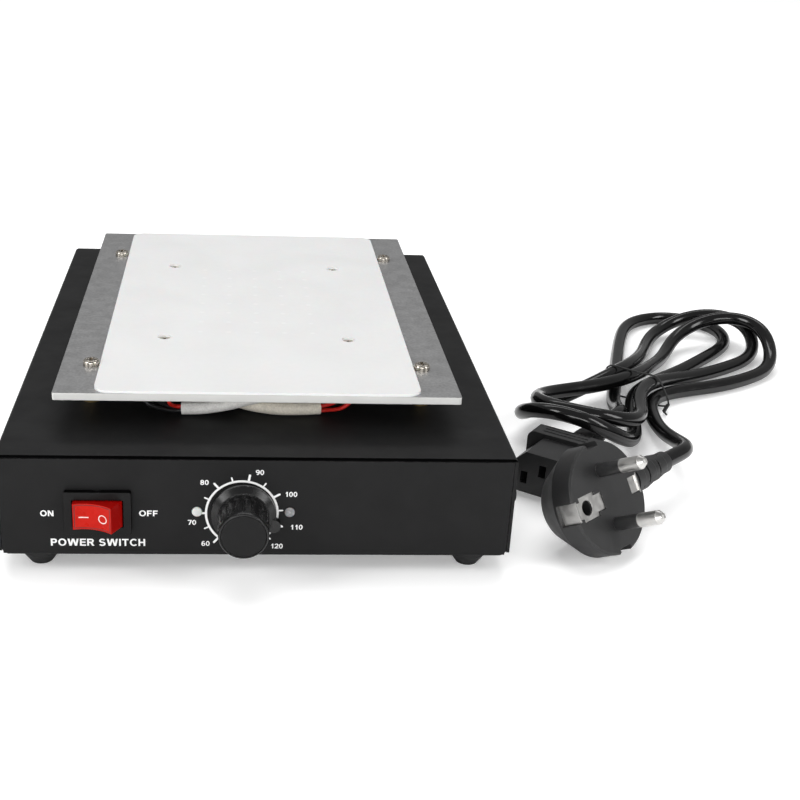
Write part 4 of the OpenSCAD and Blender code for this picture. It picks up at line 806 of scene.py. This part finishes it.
# Bold capitals and digits of unit height: the width of each, and its strokes
LETTERS = {
    "P": (0.8, [STEM, box(0.23, 0.815, 0.5, 1), box(0.23, 0.38, 0.5, 0.565),
                bow(0.5, 0.69, 0.3, 0.31, -90, 90)]),
    "O": (1.05, [bow(0.525, 0.5, 0.525, 0.52)]),
    "W": (1.44, [slant(0.35, 0, 0.13, 1, 0.25), slant(0.39, 0, 0.69, 1, 0.25),
                 slant(1.05, 0, 0.75, 1, 0.25), slant(1.09, 0, 1.31, 1, 0.25)]),
    "E": (0.78, [STEM, box(0.23, 0.815, 0.78, 1), box(0.23, 0.42, 0.72, 0.6), box(0.23, 0, 0.78, 0.185)]),
    "R": (0.92, [STEM, box(0.23, 0.815, 0.55, 1), box(0.23, 0.4, 0.55, 0.585),
                 bow(0.55, 0.7, 0.31, 0.3, -90, 90), slant(0.78, 0, 0.54, 0.41, 0.28)]),
    "S": (0.86, [bow(0.43, 0.72, 0.4, 0.3, 20, 270), bow(0.43, 0.2925, 0.43, 0.3125, -160, 90)]),
    "I": (0.23, [STEM]),
    "T": (0.86, [box(0, 0.815, 0.86, 1), box(0.315, 0, 0.545, 0.815)]),
    "C": (0.96, [bow(0.52, 0.5, 0.52, 0.52, 42, 318)]),
    "H": (0.88, [STEM, box(0.65, 0, 0.88, 1), box(0.23, 0.42, 0.65, 0.605)]),
    "N": (0.9, [STEM, box(0.67, 0, 0.9, 1), slant(0.755, 0, 0.145, 1, 0.29)]),
    "F": (0.74, [STEM, box(0.23, 0.815, 0.74, 1), box(0.23, 0.39, 0.67, 0.575)]),
    "0": (0.72, [digit_bow(0.36, 0.5, 0.36, 0.52)]),
    "1": (0.72, [box(0.36, 0, 0.57, 1), slant(0.22, 0.64, 0.44, 0.96, 0.2)]),
    "2": (0.72, [digit_bow(0.36, 0.7, 0.36, 0.32, -50, 175), slant(0.15, 0.16, 0.53, 0.5, 0.28),
                 box(0, 0, 0.72, 0.17)]),
    "6": (0.72, [digit_bow(0.36, 0.32, 0.36, 0.34), digit_bow(0.39, 0.5, 0.39, 0.52, 60, 180),
                 box(0, 0.32, 0.2, 0.5)]),
    "7": (0.72, [box(0, 0.83, 0.72, 1), slant(0.26, 0, 0.6, 0.83, 0.23)]),
    "8": (0.72, [digit_bow(0.36, 0.745, 0.33, 0.275), digit_bow(0.36, 0.28, 0.36, 0.3)]),
    "9": (0.72, [digit_bow(0.36, 0.68, 0.36, 0.34), digit_bow(0.33, 0.5, 0.39, 0.52, -120, 0),
                 box(0.52, 0.5, 0.72, 0.68)]),
    " ": (0.3, []),
}
LETTER_GAP, DIGIT_GAP = 0.15, 0.09
STROKE_STEP = 0.003


def add_words(build, words, x, z, height, width=None, gap=LETTER_GAP):
    """Words centred at x and z, of the given capital height and, if set, width."""
    whole = sum(LETTERS[letter][0] for letter in words) + gap * (len(words) - 1)
    across = width / whole if width else height
    at = -whole / 2
    for letter in words:
        for k, (flat, faces) in enumerate(LETTERS[letter][1]):
            placed = [((at + u) * across, (v - 0.5) * height) for u, v in flat]
            add_flat(build, placed, faces, on_panel(x, z), PRINT_T + k * STROKE_STEP)
        at += LETTERS[letter][0] + gap


def add_thin_solid(build, front, back, faces, place=None):
    """Solid between two copies of a flat drawing. The faces are those of its front."""
    n = len(front)
    edges = dict.fromkeys((a, b) for face in faces for a, b in zip(face, face[1:] + face[:1]))
    walls = [[b, a, a + n, b + n] for a, b in edges if (b, a) not in edges]
    backs = [[i + n for i in reversed(face)] for face in faces]
    build.add(front + back, faces + backs + walls, place)


def add_flat(build, flat, faces, place, thick=PRINT_T):
    """Flat artwork as a thin solid, standing out of its surface."""
    add_thin_solid(build, [(x, y, thick) for x, y in flat], [(x, y, 0) for x, y in flat], faces, place)


def add_bar(build, r0, r1, angle, width, centre, thick):
    """Bar with round ends along a spoke of the dial."""
    c, s = math.cos(math.radians(angle)), math.sin(math.radians(angle))
    outline = []
    for r, start in ((r1, -90), (r0, 90)):
        for k in range(BAR_END_STEPS + 1):
            a = math.radians(start + 180 / BAR_END_STEPS * k)
            outline.append((r + width / 2 * math.cos(a), width / 2 * math.sin(a)))
    flat = [(x * c - y * s, x * s + y * c) for x, y in outline]
    add_flat(build, flat, [list(range(len(flat)))], centre, thick)


# Words on the panel: place from the case's middle and over the tray, height and width
PANEL_WORDS = {"ON": (-66.7, 15.3, 2.05, 4.2), "OFF": (-34.8, 15.5, 2.05, 5.9),
               "POWER SWITCH": (-50.93, 4.96, 2.55, 29.9)}
DIAL_NUMBERS = {"60": (-16.7, 4.7), "70": (-21.05, 12.35), "80": (-17.1, 26.6), "90": (0.3, 30.25),
                "100": (10.3, 22.6), "110": (12.35, 10.8), "120": (6.15, 3.85)}
NUMBER_H = 1.72
RING_OFF_X, RING_OFF_Z = -0.5, -0.5    # the printed ring stands a little off the shaft
# The dial's bars, long and short in turn: how far they reach, in ring radii, and their width
LONG_BAR, SHORT_BAR = (1.2, 0.72), (1.14, 0.5)
BAR_ROOT = 0.2
BAR_COUNT = 13
BAR_END_STEPS = 6


def make_prints():
    white = print_white()
    words = Build()
    for word, (x, z, height, width) in PANEL_WORDS.items():
        add_words(words, word, x, TRAY_Z + z, height, width)
    words.piece("panel_words", "machine", white, sharp=30)
    dial = Build()
    centre = on_panel(DIAL_AT.x + RING_OFF_X, DIAL_AT.z + RING_OFF_Z)
    outer = ARC_R + ARC_W / 2
    add_flat(dial, *bow(0, 0, outer, outer, DIAL_END, DIAL_START, ARC_W, ARC_W, 120), centre)
    for k in range(BAR_COUNT):
        reach, width = SHORT_BAR if k % 2 else LONG_BAR
        add_bar(dial, ARC_R + BAR_ROOT, ARC_R * reach, DIAL_START + k * DIAL_STEP, width, centre,
                PRINT_T + STROKE_STEP)
    for number, (x, z) in DIAL_NUMBERS.items():
        add_words(dial, number, x, TRAY_Z + z, NUMBER_H, gap=DIGIT_GAP)
    dial.piece("dial_print", "machine", white, sharp=30)


# Sleeves and heater leads

SLEEVE_D = 4.3
SLEEVE_WALL = 0.4
SLEEVE_Z = TOP_Z + SLEEVE_D / 2 + 0.1
GROMMET_Y = FRONT_Y + 48
HEATER_FRONT = PLATE_Y - HEATER_L / 2 - 0.1
LEAD_D = 1.3
LEAD_Z = PLATE_Z - HEATER_T / 2
LEAD_STEPS, LEAD_SIDES = 6, 14
BRAID_STRANDS = 16
BRAID_PITCH = 15.0
BRAID_WAVE = 0.06
BRAID_STEP = BRAID_PITCH / BRAID_STRANDS / 4
YARN_W, YARN_T = 0.72, 0.12
YARN_R = SLEEVE_D / 2 - BRAID_WAVE - YARN_T / 2
LINER_GAP = 0.06    # between the liner and the middle of the yarns
LINER_STEP, LINER_SIDES = 1.0, 24
FINE_STEPS = 24


def vectors(points):
    return [Vector(p) for p in points]


LEFT_SLEEVE = vectors([
    (-25.5, FRONT_Y + 33, SLEEVE_Z), (-18, FRONT_Y + 32.6, SLEEVE_Z + 0.5),
    (-10, FRONT_Y + 32.4, SLEEVE_Z + 2), (-3, FRONT_Y + 32.6, SLEEVE_Z + 3.8),
    (3, FRONT_Y + 33.4, SLEEVE_Z + 5), (9, FRONT_Y + 35.8, SLEEVE_Z + 4.4),
    (13, FRONT_Y + 40, SLEEVE_Z + 2.4), (14, GROMMET_Y - 3.2, SLEEVE_Z + 1.6),
    (14, GROMMET_Y - 0.4, TOP_Z + 1), (14, GROMMET_Y, ROOF_Z - 1.6), (14, GROMMET_Y, ROOF_Z - 6)])
RIGHT_SLEEVE = vectors([
    (21, FRONT_Y + 34.5, SLEEVE_Z), (14, FRONT_Y + 33.6, SLEEVE_Z),
    (7, FRONT_Y + 33.6, SLEEVE_Z), (1, FRONT_Y + 35.2, SLEEVE_Z),
    (-5, FRONT_Y + 37.6, SLEEVE_Z + 0.3), (-11, FRONT_Y + 41, SLEEVE_Z + 1.2),
    (-14, GROMMET_Y - 3.4, SLEEVE_Z + 1.4), (-14, GROMMET_Y - 0.6, TOP_Z + 0.8),
    (-14, GROMMET_Y, ROOF_Z - 1.6), (-14, GROMMET_Y, ROOF_Z - 6)])


def inside(sleeve, dy, dz):
    """A lead's last points, in a sleeve's open end."""
    return [point_along(sleeve, k) + Vector((0, dy, dz)) for k in (-0.25, 0.1, 0.6)]


RED_LEADS = [
    vectors([(-28, HEATER_FRONT, LEAD_Z), (-29, FRONT_Y + 34, SLEEVE_Z + 6),
             (-29.6, FRONT_Y + 31, SLEEVE_Z + 3)])
    + inside(LEFT_SLEEVE, 0, 0.8),
    vectors([(28, HEATER_FRONT, LEAD_Z), (28.4, FRONT_Y + 36, SLEEVE_Z + 5.6),
             (26.4, FRONT_Y + 34, SLEEVE_Z + 2.8)])
    + inside(RIGHT_SLEEVE, 0.2, 0.8),
    vectors([(32, HEATER_FRONT, LEAD_Z), (32.4, FRONT_Y + 34, SLEEVE_Z + 5),
             (28.4, FRONT_Y + 31.8, SLEEVE_Z + 1.4)])
    + inside(RIGHT_SLEEVE, -0.2, -0.8)]
BLACK_LEADS = [
    vectors([(-38, HEATER_FRONT, LEAD_Z), (-38.6, FRONT_Y + 33, SLEEVE_Z + 6),
             (-36.6, FRONT_Y + 29, SLEEVE_Z + 3.4), (-31.4, FRONT_Y + 30.6, SLEEVE_Z + 0.6)])
    + inside(LEFT_SLEEVE, -0.75, -0.45),
    vectors([(-34, HEATER_FRONT, LEAD_Z), (-34.4, FRONT_Y + 35, SLEEVE_Z + 6),
             (-34, FRONT_Y + 32, SLEEVE_Z + 3.6), (-30.4, FRONT_Y + 33.2, SLEEVE_Z + 0.8)])
    + inside(LEFT_SLEEVE, 0.75, -0.45)]


def make_leads(finishes):
    leads = (("red_lead_set", RED_LEADS, "lead_red"), ("black_lead_set", BLACK_LEADS, "lead_dark"))
    for name, lines, slot in leads:
        build = Build()
        for knots in lines:
            build.add(*skin(tube_loops(smooth_line(knots, LEAD_STEPS), LEAD_D / 2, LEAD_SIDES)))
        build.piece(name, "machine", finishes[slot], [name.replace("_lead_set", "_leads")])


def add_braid(build, line):
    """Yarns wound both ways along a line, each over and under the others in turn."""
    frames = carried_frames(line)
    along = lengths_along(line)
    for way in (1, -1):
        for k in range(BRAID_STRANDS):
            loops = []
            for p, s, (ahead, side, other) in zip(line, along, frames):
                a = 2 * math.pi * (way * s / BRAID_PITCH + k / BRAID_STRANDS)
                r = YARN_R + way * BRAID_WAVE * math.cos(2 * math.pi * BRAID_STRANDS * s / BRAID_PITCH)
                out = math.cos(a) * side + math.sin(a) * other
                across = YARN_W / 2 * (math.cos(a) * other - math.sin(a) * side)
                low = p + (r - YARN_T / 3) * out
                loops.append([low - across, p + (r + YARN_T / 2) * out, low + across])
            build.add(*skin(loops))


def fine_line(knots, gap):
    """Points evenly spaced along the curve through the knots, about gap mm apart."""
    line = smooth_line(knots, FINE_STEPS)
    along = lengths_along(line)
    count = int(along[-1] / gap)
    found = []
    i = 0
    for k in range(count + 1):
        s = along[-1] * k / count
        while i < len(line) - 2 and along[i + 1] < s:
            i += 1
        share = (s - along[i]) / max(along[i + 1] - along[i], 1e-9)
        found.append(line[i].lerp(line[i + 1], min(share, 1.0)))
    return found


def make_sleeves(finishes):
    """Each sleeve is a braid round a thin liner."""
    sleeves = (("sleeve_left", LEFT_SLEEVE, "sleeve_white"), ("sleeve_right", RIGHT_SLEEVE, "sleeve_cream"))
    for name, knots, slot in sleeves:
        build = Build()
        add_braid(build, fine_line(knots, BRAID_STEP))
        line = fine_line(knots, LINER_STEP)
        outer = tube_loops(line, YARN_R - LINER_GAP, LINER_SIDES)
        inner = tube_loops(line, SLEEVE_D / 2 - SLEEVE_WALL, LINER_SIDES)
        build.add(*skin(outer + inner[::-1] + outer[:1], False))
        build.piece(name + "_braid", "machine", finishes[slot], [name], sharp=60)


# Rocker marks, on the rocker's dished face

BEZEL_T, PIVOT_IN = 2.0, 2.2
PIVOT_Y = FRONT_Y - BEZEL_T + PIVOT_IN
ROCKER_TILT = math.radians(14)
ROCKER_H = 9.0
RIDGE_W, RIDGE_H, DISH_DEEP = 12.6, 6.0, 1.6
DISH_R = ((RIDGE_W / 2) ** 2 + DISH_DEEP ** 2) / (2 * DISH_DEEP)
FACE_MID = RIDGE_H - DISH_DEEP
SEAM_IN, SEAM_W = 0.5, 0.3
MARK_V = -0.3
BAR_MARK = (-4.6, -1.6, MARK_V - 0.17, MARK_V + 0.17)
RING_MARK_U, RING_MARK_R, RING_MARK_W = 3.1, 1.5, 0.3


def rocker_point(u, v, lift):
    """Point on the rocker's face: u across from its middle, v up, lift out of it, in mm."""
    deep = DISH_R - math.sqrt(DISH_R ** 2 - u ** 2)
    out = FACE_MID + deep + lift
    x, y = u, -out
    c, s = math.cos(-ROCKER_TILT), math.sin(-ROCKER_TILT)
    return Vector((SWITCH_X + x * c - y * s, PIVOT_Y + x * s + y * c, DIAL_AT.z + v))


def add_on_rocker(build, flat, faces, thick=0.04):
    """Thin artwork laid on the dished face. Its points are (across, up)."""
    front = [rocker_point(u, v, thick) for u, v in flat]
    add_thin_solid(build, front, [rocker_point(u, v, -0.01) for u, v in flat], faces)


def strip(u0, u1, v0, v1, count=12):
    """Flat strip cut across into pieces, so that it can follow the dish."""
    flat = [(u0 + (u1 - u0) * k / count, v) for v in (v0, v1) for k in range(count + 1)]
    row = count + 1
    return flat, [[k, k + 1, k + 1 + row, k + row] for k in range(count)]


def make_rocker_marks():
    paint = Paint("mark_white", (0.93, 0.78, 0.75), 0.4)
    white = paint.mottle(1, 0.03).grain(0.2, 0.005).done()
    build = Build()
    add_on_rocker(build, *strip(*BAR_MARK))
    ring = bow(RING_MARK_U, MARK_V, RING_MARK_R, RING_MARK_R, wide=RING_MARK_W, tall=RING_MARK_W)
    add_on_rocker(build, *ring)
    build.piece("rocker_marks", "rocker", white, sharp=30)

    # Painted shade: a thin dark red band a little inside the rocker's face edges stands for the shade in a
    # groove between edge and face, which the geometry does not have.
    paint = Paint("painted_seam_shade", (0.16, 0.004, 0.003), 0.45)
    dark = paint.mottle(1, 0.1).grain(0.2, 0.005).done()
    build = Build()
    u, v = RIDGE_W / 2 - SEAM_IN, ROCKER_H / 2 - SEAM_IN
    for side in (-1, 1):
        add_on_rocker(build, *strip(-u, u, side * v - SEAM_W / 2, side * v + SEAM_W / 2, 24), thick=0.015)
        add_on_rocker(build, *strip(side * u - SEAM_W / 2, side * u + SEAM_W / 2, -v, v, 1), thick=0.018)
    build.piece("rocker_seam_shade", "rocker", dark, sharp=30)


# The mains lead, whose points are those of the model's own lead

CORD_D = 6.0
GROUND_GAP = 0.1
HANK_AT = Vector((CASE_W / 2 + 83.5, FRONT_Y + 150, 0))
HANK_ANGLE = math.radians(53)
PLUG_D, PLUG_BACK_D, PLUG_L, PLUG_RIM = 39.0, 25.0, 20.0, 8.0
PLUG_TURN = HANK_ANGLE - math.radians(12)
PLUG_TILT = math.atan((PLUG_D - PLUG_BACK_D) / 2 / (PLUG_L - PLUG_RIM))
PLUG_Z = PLUG_RIM * math.sin(PLUG_TILT) + PLUG_D / 2 * math.cos(PLUG_TILT) + GROUND_GAP
PLUG_AT = HANK_AT + Vector((-48, -135.5, PLUG_Z))
PLUG_AXIS = Vector((math.cos(PLUG_TILT) * math.sin(PLUG_TURN),
                    -math.cos(PLUG_TILT) * math.cos(PLUG_TURN), math.sin(PLUG_TILT)))
PLUG_WAY = Vector((math.cos(PLUG_TURN), math.sin(PLUG_TURN), 0))
BOSS_Z = -10.0
PLUG_RELIEF_L = 28.0
PLUG_CORD = PLUG_AT + BOSS_Z * PLUG_AXIS + (PLUG_D / 2 + 1 + PLUG_RELIEF_L) * PLUG_WAY
LOW = CORD_D / 2 + GROUND_GAP
TIED_LOW = 4.7
TIED_HIGH = 10.9
RINGS_PER_POINT = 12
CORD_ROUNDNESS = 6


def on_ground(p):
    """A hank point (along, across, height) in the frame of the object, in mm."""
    c, s = math.cos(HANK_ANGLE), math.sin(HANK_ANGLE)
    return Vector((HANK_AT.x + p[0] * c - p[1] * s, HANK_AT.y + p[0] * s + p[1] * c, p[2]))


def turn_back(way, along, across, r, heights):
    """Half a turn at a loop's end: to +X when way is 1, to -X when it is -1."""
    return [(along + way * r * math.sin(math.radians(60 * k)),
             across + way * r * math.cos(math.radians(60 * k)), z) for k, z in enumerate(heights)]


def lead_points():
    hank = [(-54, -10, 10.1), (-46, -10, 10.1), (-38, -10, 10.1), (-27, -5, 5), (-14, 3, LOW),
            (0, 7.3, TIED_LOW), (34, 20, LOW), (66, 31, LOW)]
    hank += turn_back(1, 91, 11, 26.4, (LOW, LOW, LOW, LOW))
    hank += [(66, -12, LOW), (34, -8, LOW), (0, 0, TIED_LOW), (-22, -9, LOW)]
    hank += turn_back(-1, -60, 0, 27, (4.5, 23.6, 21, 4.6))
    hank += [(-24, 17, 6.2), (0, 6.5, TIED_HIGH + 1.3), (32, 8.5, 7.5), (60, 16, LOW)]
    hank += turn_back(1, 84, -5, 26.4, (LOW, 11, 12.5, LOW))
    hank += [(60, -25, LOW), (32, -17, 4.5), (0, -7, TIED_HIGH), (-22, -10, 10.6)]
    hank += turn_back(-1, -50, 0, 25, (12.5, 19.8, 18.5, 12.6))
    hank += [(-22, 7.5, 11), (0, 0, TIED_HIGH), (30, 2, 6), (54, 4, LOW)]
    hank += turn_back(1, 75, -17, 25, (7, 15, 16, LOW))
    hank += [(54, -38, LOW), (30, -28, LOW), (0, -7.5, TIED_LOW), (-20, -17, LOW), (-40, -30, 5)]
    points = [on_ground(p) for p in hank]
    return points + [PLUG_CORD + 20 * PLUG_WAY, PLUG_CORD + 10 * PLUG_WAY, PLUG_CORD]


def spline_at(points, s):
    """Point of the uniform cubic B-spline at parameter s, from 0 to the last point's index."""
    n = len(points) - 1
    i = min(int(s), n - 1)
    t = s - i
    before = points[i - 1] if i > 0 else 2 * points[0] - points[1]
    after = points[i + 2] if i + 2 <= n else 2 * points[n] - points[n - 1]
    return ((1 - t) ** 3 * before + (3 * t ** 3 - 6 * t ** 2 + 4) * points[i]
            + (-3 * t ** 3 + 3 * t ** 2 + 3 * t + 1) * points[i + 1] + t ** 3 * after) / 6


def tube_curve(name, points, diameter):
    """Round tube along points in mm, as a curve of one open spline."""
    data = bpy.data.curves.new(name, "CURVE")
    data.dimensions = "3D"
    data.bevel_depth = diameter / 2 * MM
    data.bevel_resolution = CORD_ROUNDNESS
    data.use_fill_caps = True
    line = data.splines.new("POLY")
    line.points.add(len(points) - 1)
    for knot, p in zip(line.points, points):
        knot.co = (p.x * MM, p.y * MM, p.z * MM, 1)
    line.use_smooth = True
    return linked(name, data)


def make_cord(finishes):
    knots = lead_points()
    steps = (len(knots) - 1) * RINGS_PER_POINT
    line = [spline_at(knots, k / RINGS_PER_POINT) for k in range(steps + 1)]
    cord = tube_curve("mains_cord", line, CORD_D)
    cord.data.materials.append(finishes["cord_black"])
    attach(cord, "machine")
    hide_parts("mains_lead")


bpy.context.scene.view_settings.view_transform = "Standard"
make_camera()
make_world()
make_floor()
make_lights()
FINISHES = make_finishes()
make_prints()
make_leads(FINISHES)
make_sleeves(FINISHES)
make_rocker_marks()
make_cord(FINISHES)
